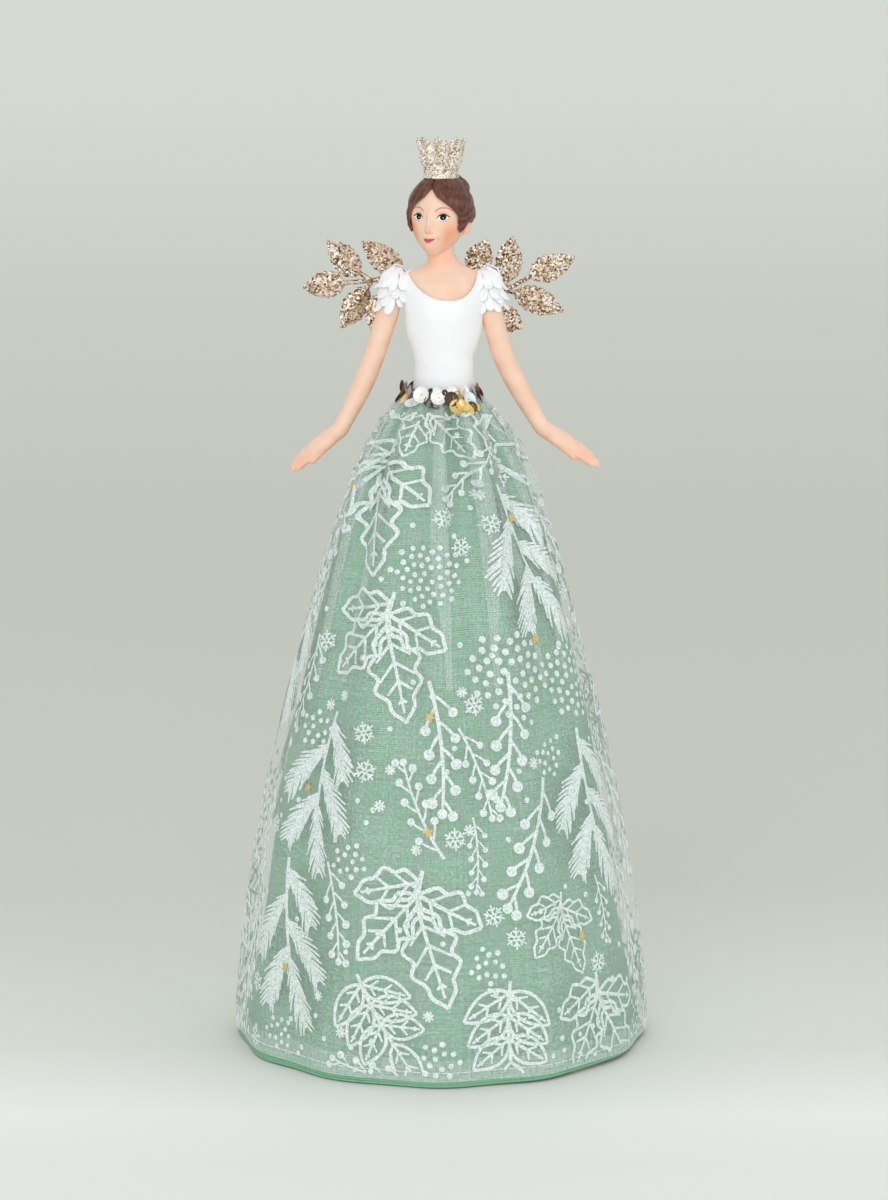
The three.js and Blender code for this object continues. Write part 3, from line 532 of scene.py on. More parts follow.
def organza_place(u, v):
    bearing = signed_bearing(u)
    foot = organza_hem(bearing)
    return organza_point(bearing, foot + (HEADER_TOP + 0.2 - foot) * v)


def organza_point(bearing, height, lift=0.0):
    if height > HEADER_FOOT:
        radius = frilled_radius(organza_radius, bearing, height, *ORGANZA_HEADER)
    else:
        radius = organza_radius(bearing, height)
    return from_bearing(bearing, radius + lift, height)


organza_cloth = bent_grid(ORGANZA_COLUMNS, ORGANZA_ROWS, organza_place, ORGANZA_FLAT)
overskirt = add_piece(organza_cloth, "organza_overskirt", organza)
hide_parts("overskirt")

# %% [markdown]
# ## Underlaps of the pleats
# A box pleat is three layers thick at its edges, because the cloth turns back under itself. Two narrow strips lie
# under each pleat for that. They are widest at the waist and run out where the pleat opens, so the veil is whiter
# beside each fold, as the real gathers are.

# %% Underlaps
UNDERLAP_FOOT, UNDERLAP_WIDTH = 118, 12


def underlap_rule(edge, towards):
    def rule(u, v):
        height = UNDERLAP_FOOT + (SKIRT_HEIGHT - 0.5 - UNDERLAP_FOOT) * v
        width = UNDERLAP_WIDTH * (0.25 + 0.75 * ease(v * 1.4)) * (0.9 + 0.1 * sin(9 * v + edge))
        bearing = edge + towards * (width * u - 0.4)
        return organza_point(bearing, height, -0.5 - 0.35 * u)

    return rule


underlaps = bmesh.new()
for left_edge, right_edge in PLEATS:
    for edge, towards in ((left_edge, 1), (right_edge, -1)):
        join(underlaps, bent_grid(8, 60, underlap_rule(edge, towards), (4, 86)))
pleat_underlaps = add_piece(underlaps, "organza_underlaps", organza, recalculate=False)

# %% [markdown]
# ## Hem of the organza
# The lower edge is turned up by about seven millimetres and sewn down with white thread. The turned-up band is a
# second layer of organza just inside the first. Each stitch is a short rounded rod that follows the hem and dips
# into the cloth at both ends.

# %% Hem band and stitches
HEM_BAND = 6.8
STITCH_HEIGHT = 3.0
STITCH_COUNT = 136


def hem_band_place(u, v):
    bearing = signed_bearing(u)
    return organza_point(bearing, organza_hem(bearing) + 0.1 + HEM_BAND * v, -0.25 + 0.1 * v)


hem_band = add_piece(bent_grid(ORGANZA_COLUMNS, 5, hem_band_place, (400, HEM_BAND)), "organza_hem_band", organza)

thread = Finish("white_thread", (0.86, 0.88, 0.86), 0.6, Sheen_Weight=0.3)
thread.mottle(0.25, 2, (0.74, 0.78, 0.76), (0.92, 0.93, 0.92))


def along_at(points, k):
    """The direction of a line of points at its point k."""
    return (points[min(k + 1, len(points) - 1)] - points[max(k - 1, 0)]).normalized()


def rod(points, radii, sides=6):
    """A rounded rod along the points: a grid rolled into a tube, ring by ring, with both ends filled."""
    points = [Vector(p) for p in points]
    stations = len(points) - 1

    def rule(u, v):
        turn = 2 * pi * u
        k = round(v * stations)
        along = along_at(points, k)
        side = along.cross(Vector((0, 1, 0)) if abs(along.y) < 0.9 else Vector((1, 0, 0))).normalized()
        return points[k] + (side * cos(turn) + along.cross(side) * sin(turn)) * radii[k]

    bm = bent_grid(sides, stations, rule, None, 0.0005)
    bmesh.ops.holes_fill(bm, edges=bm.edges, sides=sides)
    return bm


STITCH_STEPS = (0, 0.12, 0.5, 0.88, 1)
STITCH_LIFTS = (-0.05, 0.08, 0.12, 0.08, -0.05)
STITCH_RADII = (0.09, 0.14, 0.15, 0.14, 0.09)
stitches = bmesh.new()
for k in range(STITCH_COUNT):
    start, end = (signed_bearing((k + t) / STITCH_COUNT) for t in (0.06, 0.94))
    steps = [start + (end - start) * t for t in STITCH_STEPS]
    route = [organza_point(b, organza_hem(b) + STITCH_HEIGHT, lift) for b, lift in zip(steps, STITCH_LIFTS)]
    join(stitches, rod(route, STITCH_RADII))
hem_stitches = add_piece(stitches, "hem_stitches", thread)

# %% [markdown]
# ## Glitter print
# Winter foliage is printed on the organza in clear glue and white glitter: fir branches, berry sprigs, veined
# leaves, clouds of dots and snow crystals. An image could carry it, but then a close look would show pixels. Here
# each motif is drawn once as flat strokes and dots, and copies are wrapped on the veil. A copy keeps its true
# size, because its sideways places become angles and its upright places follow the slope of the bell. The large
# motifs are strewn by chance first, the small ones fill the gaps, and the edges of the cloth cut what crosses them.

# %% Strokes and dots
PRINT_LINE = 1.0
PRINT_WEIGHT = 0.98
pick = random.Random(14)


def stroke(bm, points, width=PRINT_LINE, fade=0.35):
    """A flat stroke along the points, a little uneven, that gets thinner towards its end."""
    count = len(points) - 1
    points = [Vector((*p, 0)) for p in points]

    def rule(u, v):
        k = round(v * count)
        along = along_at(points, k)
        wide = width * PRINT_WEIGHT * (1 - fade * k / count) * pick.uniform(0.84, 1.16)
        return points[k] + Vector((along.y, -along.x, 0)) * ((u - 0.5) * wide)

    join(bm, bent_grid(1, count, rule, None, 0))


def dot(bm, x, y, radius, segments=8):
    part = bmesh.new()
    bmesh.ops.create_circle(part, cap_ends=True, segments=segments, radius=radius * pick.uniform(0.92, 1.08))
    join(bm, part, Matrix.Translation((x, y, 0)))


def curve_points(start, heading, length, turn, steps):
    """Points along a curve that starts at a place with a heading in degrees, and turns evenly."""
    x, y = start
    points = [(x, y)]
    for k in range(steps):
        angle = radians(heading + turn * (k + 0.5) / steps)
        x += cos(angle) * length / steps
        y += sin(angle) * length / steps
        points.append((x, y))
    return points


def heading_at(points, k):
    (x0, y0), (x1, y1) = points[max(k - 1, 0)], points[min(k + 1, len(points) - 1)]
    return degrees(atan2(y1 - y0, x1 - x0))


def turned(point, start, heading):
    """A point of a part drawn along +X, when the part starts at a place with a heading in degrees."""
    angle = radians(heading)
    x, y = point
    return (
        start[0] + x * cos(angle) - y * sin(angle),
        start[1] + x * sin(angle) + y * cos(angle),
    )


# %% Motifs
def frond(bm, start, heading, length, reach, turn=10):
    """A dense fir frond: two rows of needles on a twig, longest before its middle."""
    count = round(length / 1.35)
    twig = curve_points(start, heading, length, turn, count)
    stroke(bm, twig, 1.9, 0.6)
    for k in range(count):
        needle = reach * sin(pi * (0.16 + 0.76 * k / count)) ** 0.7
        for side in (1, -1):
            lean = heading_at(twig, k) + side * pick.uniform(34, 44)
            stroke(bm, curve_points(twig[k], lean, needle * pick.uniform(0.85, 1.12), -18 * side, 3), 0.95, 0.6)


def fir_branch(bm):
    stem = curve_points((1, 19), -98, 23, 14, 8)
    stroke(bm, stem, 1.0, 0.2)
    for k, side, length in ((1, 1, 14.5), (3, -1, 16.5), (5, 1, 16.5), (7, -1, 14.5)):
        frond(bm, stem[k], heading_at(stem, k) + 47 * side, length, 6.0, -24 * side)
    frond(bm, stem[8], heading_at(stem, 8) + 6, 15.5, 6.0)


def berry_sprig(bm):
    stem = curve_points((-2, 17), -78, 31, -20, 10)
    stroke(bm, stem, 1.0)
    for k in range(1, 10):
        side = 1 if k % 2 else -1
        twig = curve_points(stem[k], heading_at(stem, k) + 46 * side, 6.6 - 0.25 * k, -24 * side, 3)
        stroke(bm, twig, 0.8, 0.2)
        dot(bm, *twig[-1], 1.25, 10)
    dot(bm, *stem[-1], 1.25, 10)


def veined_leaf(bm, start, heading, length, width, lobes=0, veins=3):
    """A leaf in outline, with a midrib, side veins and, if asked, a lobed edge."""
    steps = 9 if not lobes else 7 * lobes
    for side in (1, -1):
        edge = []
        for k in range(steps + 1):
            t = k / steps
            wave = 1 - (0.30 * (1 + cos(2 * pi * lobes * t)) / 2 if lobes else 0)
            bow = sin(pi * t**0.85) ** 0.85 if 0 < t < 1 else 0
            edge.append((length * t, side * width / 2 * bow * wave))
        stroke(bm, [turned(p, start, heading) for p in edge], 0.95, 0.1)
    stroke(bm, [turned((length * t, 0), start, heading) for t in (0, 0.3, 0.6, 0.9)], 0.95)
    for k in range(veins):
        t = 0.18 + 0.58 * k / max(1, veins - 1)
        reach = width * 0.34 * sin(pi * (t + 0.15) ** 0.85)
        for side in (1, -1):
            vein = [(length * t, 0), (length * t + reach * 0.9, side * reach)]
            stroke(bm, [turned(p, start, heading) for p in vein], 0.8, 0.3)


def leaf_spray(bm):
    stem = curve_points((0, 17), -94, 21, 14, 7)
    stroke(bm, stem, 1.0, 0.1)
    for k in (1, 3, 5):
        for side in (1, -1):
            veined_leaf(bm, stem[k], heading_at(stem, k) + 55 * side, 14.5 - 0.5 * k, 6.8, 0, 3)
    veined_leaf(bm, stem[7], heading_at(stem, 7), 15, 7.4, 0, 3)


def lobed_leaves(bm):
    stem = curve_points((2, 19), -102, 8, 10, 3)
    stroke(bm, stem, 1.0, 0.1)
    veined_leaf(bm, stem[1], -168, 15, 9, 3, 3)
    veined_leaf(bm, stem[2], -28, 16, 9.5, 3, 3)
    veined_leaf(bm, stem[2], -132, 20, 11, 4, 4)
    veined_leaf(bm, stem[3], -72, 23, 12.5, 4, 4)


def snow_crystal(bm):
    for k in range(6):
        heading = 60 * k + 30
        stroke(bm, [turned((r, 0), (0, 0), heading) for r in (0.3, 1.8, 3.5)], 0.75, 0.25)
        for side in (1, -1):
            ends = [(1.7, 0), (2.5, 1.1 * side)]
            stroke(bm, [turned(p, (0, 0), heading) for p in ends], 0.7, 0.25)


def cloud(bm, number, spread, radius):
    """Dots along a spiral, each turned by the golden angle from the last."""
    for k in range(1, number + 1):
        dot(bm, *turned((spread * sqrt(k), 0), (0, 0), 137.5 * k), radius, 8)


def dot_cloud(bm):
    cloud(bm, 44, 1.72, 0.95)


def small_cloud(bm):
    cloud(bm, 14, 1.55, 0.85)


def small_star(bm):
    for k in range(4):
        stroke(bm, [turned((r, 0), (0, 0), 45 * k) for r in (-1.7, 0, 1.7)], 0.7, 0)


def single_dot(bm):
    dot(bm, 0, 0, 0.95)


# Motif, scale, how many at most, tries: the large ones first, then what fits into the room that is left
PASSES = (
    (fir_branch, 1.3, 10, 400), (lobed_leaves, 1.3, 10, 400), (leaf_spray, 1.2, 6, 240),
    (berry_sprig, 1.3, 14, 400), (dot_cloud, 1.1, 12, 240), (fir_branch, 0.95, 14, 400),
    (lobed_leaves, 0.95, 16, 400), (berry_sprig, 0.95, 26, 500), (leaf_spray, 0.8, 12, 300),
    (dot_cloud, 0.85, 16, 300), (lobed_leaves, 0.7, 22, 400), (berry_sprig, 0.7, 24, 400),
    (small_cloud, 1.0, 60, 500), (snow_crystal, 1.0, 30, 240), (small_star, 1.0, 40, 300),
    (single_dot, 1.0, 240, 800),
)
MOTIF_GAP, PRINT_TOP, PRINT_LIFT = 1.15, 198.5, 0.14
OUTSIDE_SHARE = 0.4

# %% Wrap the print on the veil
glitter = Finish("white_glitter", (0.86, 0.93, 0.91), 0.4, Sheen_Weight=0.8, Sheen_Roughness=0.4)
glitter_cells = glitter.cells(glitter.place(), per_mm(0.42))
GLITTER_TONES = ((0.12, (0.46, 0.60, 0.56)), (0.5, (0.74, 0.83, 0.80)), (0.88, (0.93, 0.96, 0.96)))
glitter.colour(glitter.ramp(glitter_cells.outputs["Color"], *GLITTER_TONES))
glitter.bump(glitter_cells.outputs["Distance"], 0.8, 0.1)
print_mesh = bmesh.new()


def meridian_share(height):
    """How much of a step along the cloth is upright."""
    step = bell_radius(height + 2) - bell_radius(height - 2)
    return 4 / hypot(4, step)


def wrap_point(x, y, bearing, height, tilt, scale):
    """Where a flat point of a motif lies on the veil, or None where the veil ends."""
    x, y = turned((x * scale, y * scale), (0, 0), tilt)
    level = height + y * meridian_share(height + y / 2)
    if not organza_hem(bearing) + 1 < level < PRINT_TOP:
        return None
    return organza_point(bearing + degrees(x / bell_radius(level)), level, PRINT_LIFT)


drawn = {}
taken_points, taken = [], None


def try_motif(draw, bearing, height, tilt, scale):
    """Wraps a copy of a motif on the veil if nothing else is printed there; the cloth's edges cut it."""
    global taken
    if draw not in drawn:
        drawn[draw] = bmesh.new()
        draw(drawn[draw])
    outside = 0
    flat = [vert.co for vert in drawn[draw].verts][::9]
    for point in flat:
        place = wrap_point(point.x, point.y, bearing, height, tilt, scale)
        outside += place is None
        if outside > OUTSIDE_SHARE * len(flat) or (place and taken and taken.find(place)[2] < MOTIF_GAP):
            return 0
    motif = drawn[draw].copy()
    cut = []
    for vert in motif.verts:
        place = wrap_point(vert.co.x, vert.co.y, bearing, height, tilt, scale)
        if place is None:
            cut.append(vert)
        else:
            vert.co = place
    bmesh.ops.delete(motif, geom=cut, context="VERTS")
    taken_points.extend([vert.co.copy() for vert in motif.verts][::3])
    taken = KDTree(len(taken_points))
    for k, point in enumerate(taken_points):
        taken.insert(point, k)
    taken.balance()
    join(print_mesh, motif)
    return 1


count = 0
for draw, scale, most, tries in PASSES:
    placed = 0
    for _ in range(tries):
        bearing, height = pick.uniform(-180, 180), 2 + 195 * pick.random() ** 1.2
        tilt = pick.uniform(-28, 28) if most < 25 else pick.uniform(-180, 180)
        if placed < most:
            placed += try_motif(draw, bearing, height, tilt, scale * pick.uniform(0.93, 1.07))
    count += placed
    print(draw.__name__, scale, placed)
print("motifs", count, "faces", len(print_mesh.faces))
glitter_print = add_piece(print_mesh, "glitter_print", glitter, smooth=False, recalculate=False)

# %% [markdown]
# ## Foil stars
# A few small gold stars are sewn on the organza. Each is stamped from foil with raised ridges, so every second
# point of a ten-sided disc is pulled in and the middle is lifted.

# %% Foil stars
STAR_PLACES = (
    (-69, 0.862), (43, 0.823), (44, 0.645), (-4, 0.545), (-50, 0.424), (-4, 0.379), (-50, 0.153), (45, 0.207),
    (118, 0.74), (152, 0.5), (-128, 0.62), (-162, 0.31), (104, 0.34), (-108, 0.2),
)
STAR_RADIUS, STAR_WAIST, STAR_RISE, STAR_LIFT = 1.9, 0.45, 0.15, 0.6
foil = Finish("gold_foil", (0.64, 0.50, 0.21), 0.5, Metallic=0.15)
foil.mottle(0.6, 3, (0.55, 0.42, 0.15), (0.74, 0.60, 0.28))


def outward_matrix(point, bearing, lean, spin):
    """Puts a flat part that faces +Z on the side of the bell, facing outwards."""
    turn = Matrix.Rotation(radians(bearing), 4, "Z")
    stand = Matrix.Rotation(radians(90 - lean), 4, "X")
    return Matrix.Translation(point) @ turn @ stand @ Matrix.Rotation(radians(spin), 4, "Z")


stars = bmesh.new()
for bearing, share in STAR_PLACES:
    height = share * SKIRT_HEIGHT
    star = bmesh.new()
    bmesh.ops.create_circle(star, cap_ends=True, cap_tris=True, segments=10, radius=STAR_RADIUS)
    for vert in star.verts:
        if vert.co.length < 0.01:
            vert.co.z = STAR_RISE
        # The circle starts at +Y, so its points lie 18 degrees off the multiples of 36
        elif round((degrees(atan2(vert.co.y, vert.co.x)) + 18) / 36) % 2:
            vert.co *= STAR_WAIST
    lean = degrees(atan2(bell_radius(height - 2) - bell_radius(height + 2), 4))
    seat = organza_point(bearing, height, STAR_LIFT)
    join(stars, star, outward_matrix(seat, bearing, lean, pick.uniform(0, 72)))
foil_stars = add_piece(stars, "foil_stars", foil, smooth=False)
thicken(foil_stars, 0.14, 0)
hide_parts(*[f"star_{k}" for k in range(1, len(STAR_PLACES) + 1)])

# %% [markdown]
# ## Band of cup sequins
# A cup sequin is a thin foil disc with a hole, pressed into a dish with flat facets. Each facet mirrors another
# part of the room, so neighbours sparkle apart. The discs are spun from one short profile, then strewn round the
# ribbon: a row at the top, a row below it, and a few more that hang down in front.

# %% Sequins
ribbon_finish = Finish("olive_ribbon", (0.16, 0.15, 0.09), 0.45, Sheen_Weight=0.3)
ribbon_weave = woven(ribbon_finish, 0.3, ribbon_finish.flat_place())
ribbon_finish.colour(ribbon_finish.ramp(ribbon_weave, (0.3, (0.05, 0.055, 0.03)), (0.9, (0.20, 0.20, 0.12))))
RIBBON_FOOT, RIBBON_WIDTH, BAND_RADIUS = 200.4, 3.2, 11.2


def trim_radius(height):
    return max(bell_radius(height), BAND_RADIUS) + 0.2


def ribbon_place(u, v):
    height = RIBBON_FOOT + RIBBON_WIDTH * v
    return from_bearing(signed_bearing(u), trim_radius(height) - 0.1 + 0.1 * sin(40 * pi * u), height)


ribbon = add_piece(bent_grid(160, 6, ribbon_place, (80, RIBBON_WIDTH)), "trim_ribbon", ribbon_finish)
thicken(ribbon, 0.25)

sequin_finish = Finish("cup_sequins", (0.75, 0.6, 0.3), 0.35, Metallic=0.4, Specular_IOR_Level=0.25)
sequin_tone = sequin_finish.node("Attribute", {"attribute_name": "tone"})
sequin_speck = sequin_finish.noise(sequin_finish.place(), per_mm(0.8), 2)
sequin_haze = sequin_finish.math("MULTIPLY", sequin_speck, 0.08)
sequin_finish.colour(sequin_finish.mix(sequin_haze, sequin_tone.outputs["Color"], (1, 0.93, 0.8)))
SEQUIN_TONES = {
    "gold": (0.90, 0.68, 0.27),
    "yellow": (0.88, 0.62, 0.10),
    "bronze": (0.055, 0.028, 0.012),
    "copper": (0.30, 0.085, 0.02),
    "pearl": (1.0, 0.97, 0.92),
    "lilac": (0.66, 0.50, 0.53),
    "blue": (0.84, 0.94, 0.97),
}
# Bearing, height, tone, lean, sideways turn, size and standoff of each sequin that the front shows
FRONT_SEQUINS = (
    (-86, 204.6, "bronze", 0, -24, 1.0, 0.3), (-72, 202.8, "copper", -6, -30, 1.15, 0.5),
    (-78, 200.8, "bronze", 10, -40, 0.9, 0.3), (-50, 203.4, "lilac", 2, -30, 1.15, 0.8),
    (-58, 201.2, "gold", 14, -6, 0.95, 0.5), (-28, 203.0, "pearl", 2, 4, 1.4, 1.1),
    (-39, 200.3, "blue", 56, 8, 1.35, 0.7), (-15, 204.0, "bronze", 8, -20, 0.6, 0.3),
    (-14, 201.0, "bronze", 6, 10, 1.15, 0.2), (-6, 200.1, "bronze", 34, 0, 1.0, 0.3),
    (-3, 202.5, "pearl", 0, -2, 1.35, 1.3), (-6, 204.4, "blue", 6, 0, 0.7, 0.8), (5, 204.0, "bronze", 0, 0, 0.5, 1.6),
    (15, 203.7, "pearl", 14, 8, 1.1, 0.5), (13, 202.0, "bronze", -6, 2, 1.25, 1.9),
    (23, 202.2, "gold", -2, 24, 1.2, 0.8), (19, 199.6, "gold", 10, -8, 1.3, 1.0),
    (26, 199.9, "gold", 26, 4, 1.25, 1.5),
    (35, 204.0, "pearl", 6, 14, 1.1, 0.6), (41, 203.2, "lilac", 4, 20, 0.9, 0.3), (39, 201.6, "blue", 4, 6, 1.3, 1.4),
    (31, 198.6, "yellow", 16, 10, 1.15, 1.2), (38, 199.2, "bronze", 0, -20, 1.05, 0.8),
    (46, 199.5, "gold", 16, 20, 1.1, 0.5), (56, 203.6, "blue", 6, 30, 1.0, 0.5),
    (68, 203.8, "copper", -4, 30, 1.2, 0.3),
    (66, 201.4, "bronze", 4, 30, 1.25, 0.3), (84, 202.8, "copper", 10, 30, 1.0, 0.3),
)


def cup_sequin():
    """A twelve-sided cup with a hole, facing +Z."""
    profile = ((0.17, 0.0), (0.8, 0.02), (1.35, 0.16), (1.85, 0.42))

    def rule(u, v):
        radius, height = profile[round(v * 3)]
        turn = 2 * pi * (u - 0.5)
        return Vector((radius * cos(turn), radius * sin(turn), height))

    return bent_grid(12, 3, rule, None)


def add_sequin(total, bearing, height, tone, lean, swing, size, stand):
    part = cup_sequin()
    layer_key = part.loops.layers.float_color.new("tone")
    for face in part.faces:
        for loop in face.loops:
            loop[layer_key] = (*SEQUIN_TONES[tone], 1)
    bmesh.ops.scale(part, vec=(size, size, size), verts=part.verts)
    slope = degrees(atan2(bell_radius(height - 2) - bell_radius(height + 1), 3))
    seat = from_bearing(bearing, trim_radius(height) + stand, height)
    join(total, part, outward_matrix(seat, bearing + swing, min(62, 0.5 * slope + lean), pick.uniform(0, 30)))


sequins = bmesh.new()
sequins.loops.layers.float_color.new("tone")
for sequin in FRONT_SEQUINS:
    add_sequin(sequins, *sequin)
for row, (height, shift) in enumerate(((203.2, 0), (201.0, 10))):
    for k in range(8):
        bearing = 106 + shift + 20 * k + pick.uniform(-3, 3)
        tone = pick.choice(("gold", "bronze", "pearl", "copper", "lilac", "blue"))
        lean, swing, size = pick.uniform(0, 20), pick.uniform(-20, 20), pick.uniform(0.95, 1.2)
        add_sequin(sequins, bearing, height, tone, lean, swing, size, 0.35 + 0.3 * row)
sequin_band = add_piece(sequins, "cup_sequins", sequin_finish, smooth=False)
thicken(sequin_band, 0.07, 0)
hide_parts("sequin_trim")

# %% [markdown]
# ## Skirt former
# The hollow bell under the cloth is pressed from paper pulp. Its CAD shape is right, so only its finish is new: a
# grey-cream board with fibres, blotches and a slightly rough face.

# %% Paper pulp
pulp = Finish("pressed_pulp", (0.58, 0.53, 0.42), 0.95)
pulp_fibre = pulp.noise(pulp.place(), per_mm(1.2), 5, Roughness=0.7)
pulp_blotch = pulp.noise(pulp.place(), per_mm(14), 2)
pulp_tone = pulp.ramp(pulp_fibre, (0.35, (0.42, 0.37, 0.27)), (0.6, (0.62, 0.57, 0.46)))
pulp.colour(pulp.mix(pulp_blotch, pulp_tone, (0.55, 0.50, 0.38)))
pulp.bump(pulp_fibre, 0.7, 0.25)
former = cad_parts["skirt_former"]
for slot in former.material_slots:
    slot.material = pulp.material
print("former slots", len(former.material_slots))

# %% [markdown]
# ## Resin figure
# Head, neck and chest are one painted casting. The head starts as a grid wrapped round an egg, with its columns
# crowded at the front where the face is. Every feature is a soft rise or hollow added to that egg: brow, nose,
# lips, cheeks and chin. That keeps the surface in one piece, as sculpted resin is, and a feature is tuned by one
# row of numbers.

# %% Shape of the head
HEAD_HALF_WIDTH, HEAD_HALF_DEPTH, HEAD_HALF_HEIGHT = 9.2, 9.7, 12.2
HEAD_CENTRE = Vector((0, 0, 256.5))
HEAD_TURN = -0.375
NECK_BASE = 241.6
JAW_SWAY = 1.1
# The big forms of the face: sideways, up, forward, and their spreads, as shares of the head's half height
FACE_FORMS = (
    (0, -0.8, 0.27, 0.28, 0.23), (0, -0.54, 0.11, 0.27, 0.21), (0, -0.55, 0.045, 0.12, 0.06),
    (0, -0.27, 0.18, 0.07, 0.09), (0, -0.07, 0.105, 0.06, 0.19), (0.3, 0.04, -0.078, 0.12, 0.085),
    (-0.3, 0.04, -0.078, 0.12, 0.085), (0.38, -0.31, 0.045, 0.18, 0.17), (-0.38, -0.31, 0.045, 0.18, 0.17),
    (0, 0.5, 0.03, 0.4, 0.25),
)
# The small forms in millimetres, in the same order
FINE_FORMS = (
    (0, -3.4, 0.5, 0.85, 0.75), (0.95, -3.8, 0.34, 0.5, 0.5), (-0.95, -3.8, 0.34, 0.5, 0.5),
    (0, -4.9, -0.22, 1.1, 0.4), (0, -6.15, 0.3, 1.25, 0.36), (0, -7.0, 0.34, 0.95, 0.42),
    (0, -6.55, -0.26, 1.5, 0.16), (0, -7.9, -0.18, 1.2, 0.4), (3.75, 0.35, 0.42, 1.5, 1.0),
    (-3.75, 0.35, 0.42, 1.5, 1.0), (3.75, 1.6, -0.2, 1.6, 0.3), (-3.75, 1.6, -0.2, 1.6, 0.3),
    (3.6, 2.9, 0.16, 1.9, 0.6), (-3.6, 2.9, 0.16, 1.9, 0.6),
)


def face_form(x, z):
    big = sum(
        h * HEAD_HALF_HEIGHT * bell_curve(x, px * HEAD_HALF_HEIGHT, sx * HEAD_HALF_HEIGHT)
        * bell_curve(z, pz * HEAD_HALF_HEIGHT, sz * HEAD_HALF_HEIGHT)
        for px, pz, h, sx, sz in FACE_FORMS
    )
    return big + sum(h * bell_curve(x, px, sx) * bell_curve(z, pz, sz) for px, pz, h, sx, sz in FINE_FORMS)


def head_point(around, polar, grow=0.0):
    """A point of the head before it is turned. around is 0 in front and 1 or -1 behind, polar is 0 on top."""
    warped = copysign(abs(around) ** 1.5, around) * pi
    x, y, z = sin(warped) * sin(polar), -cos(warped) * sin(polar), cos(polar)
    low = max(0, -z)
    jaw = 1 - low * (0.14 + 0.2 * low)
    nape = 1 - 0.34 * low * ease(4 * y)
    wide, deep, high = (half + grow for half in (HEAD_HALF_WIDTH, HEAD_HALF_DEPTH, HEAD_HALF_HEIGHT))
    point = Vector((wide * x * jaw, deep * y * nape, high * z))
    point.x -= JAW_SWAY * ease((-point.z - 2) / 6)
    point.y -= face_form(point.x, point.z) * ease(3 * -y)
    return point


HEAD_PLACE = Matrix.Translation(HEAD_CENTRE) @ Matrix.Rotation(HEAD_TURN, 4, "Z")
head_grid = bent_grid(144, 110, lambda u, v: HEAD_PLACE @ head_point(2 * u - 1, pi * (1 - v)))
bmesh.ops.recalc_face_normals(head_grid, faces=head_grid.faces)
head_shape = BVHTree.FromBMesh(head_grid)
print("head faces", len(head_grid.faces))

# %% Chest, neck and ears
TORSO_FOOT, TORSO_HEIGHT = 203.4, 38.2
TORSO_LEAN, TORSO_BACK = 0.9, 0.5
SHOULDER_HALF_WIDTH, CHEST_HALF_DEPTH = 12.2, 8.4
TORSO_SHARES = (0, 0.1, 0.23, 0.36, 0.48, 0.62, 0.75, 0.86, 0.92, 0.955)
TORSO_WIDTHS = (0.7, 0.66, 0.64, 0.75, 0.86, 0.905, 0.945, 1, 0.98, 0.79)
TORSO_DEPTHS = (0.96, 0.86, 0.76, 0.82, 0.93, 1, 0.98, 0.85, 0.68, 0.59)
NECK_FOOT_SHARE, NECK_HEIGHT, NECK_LEAN, NECK_BACK = 0.955, 13, -0.5, 1.2
NECK_SHARES = (0, 0.12, 0.2, 0.36, 1)
NECK_WIDTHS = (9.64, 6.36, 5.0, 4.3, 4.3)
NECK_DEPTHS = (4.96, 4.5, 4.35, 4.3, 4.3)
PLUG_FOOT, PLUG_RADIUS, NECK_TOP = 194.3, 7.2, 252.2


def chest_point(around, height, grow=0.0):
    """A point of chest and neck, with around as an angle from +X, at a height above the torso's foot."""
    share = (height - TORSO_FOOT) / TORSO_HEIGHT
    if share <= NECK_FOOT_SHARE:
        width = SHOULDER_HALF_WIDTH * smooth_through(TORSO_SHARES, TORSO_WIDTHS, share) + grow
        depth = CHEST_HALF_DEPTH * smooth_through(TORSO_SHARES, TORSO_DEPTHS, share) + grow
        lean, back = TORSO_LEAN, TORSO_BACK
    else:
        rise = (height - (TORSO_FOOT + NECK_FOOT_SHARE * TORSO_HEIGHT)) / NECK_HEIGHT
        width = smooth_through(NECK_SHARES, NECK_WIDTHS, rise) + grow
        depth = smooth_through(NECK_SHARES, NECK_DEPTHS, rise) + grow
        lean = TORSO_LEAN + (NECK_LEAN - TORSO_LEAN) * ease(rise * 1.6)
        back = TORSO_BACK + (NECK_BACK - TORSO_BACK) * ease(rise * 1.6)
    front = max(0, -sin(around))
    bust = 1.3 * bell_curve(abs(cos(around)), 0.42, 0.34) * bell_curve(share, 0.62, 0.13) * front
    bone = 0.16 * bell_curve(abs(cos(around)), 0.45, 0.3) * bell_curve(share, 0.925, 0.02) * front
    x = lean + width * cos(around)
    return Vector((x, back + depth * sin(around) - bust - bone, height))


def chest_rule(u, v):
    """The casting stands on a plug that fits the neck of the skirt former."""
    height = PLUG_FOOT + (NECK_TOP - PLUG_FOOT) * v
    turn = 2 * pi * u
    if height < TORSO_FOOT - 0.3:
        return Vector((PLUG_RADIUS * cos(turn), PLUG_RADIUS * sin(turn), height))
    return chest_point(turn, height)


chest = bent_grid(96, 98, chest_rule)
bmesh.ops.holes_fill(chest, edges=chest.edges, sides=200)
figure_body = add_piece(chest, "resin_figure", None)


EAR_SIZES = (1.25, 1.75, 2.45)


def ear_matrix(side):
    lean = Matrix.Rotation(radians(12 * side), 4, "Y") @ Matrix.Rotation(radians(16 * side), 4, "Z")
    seat = HEAD_PLACE @ Matrix.Translation((side * 8.5, -0.1, -3.2))
    return seat @ (lean @ Matrix.Rotation(radians(-14), 4, "X"))


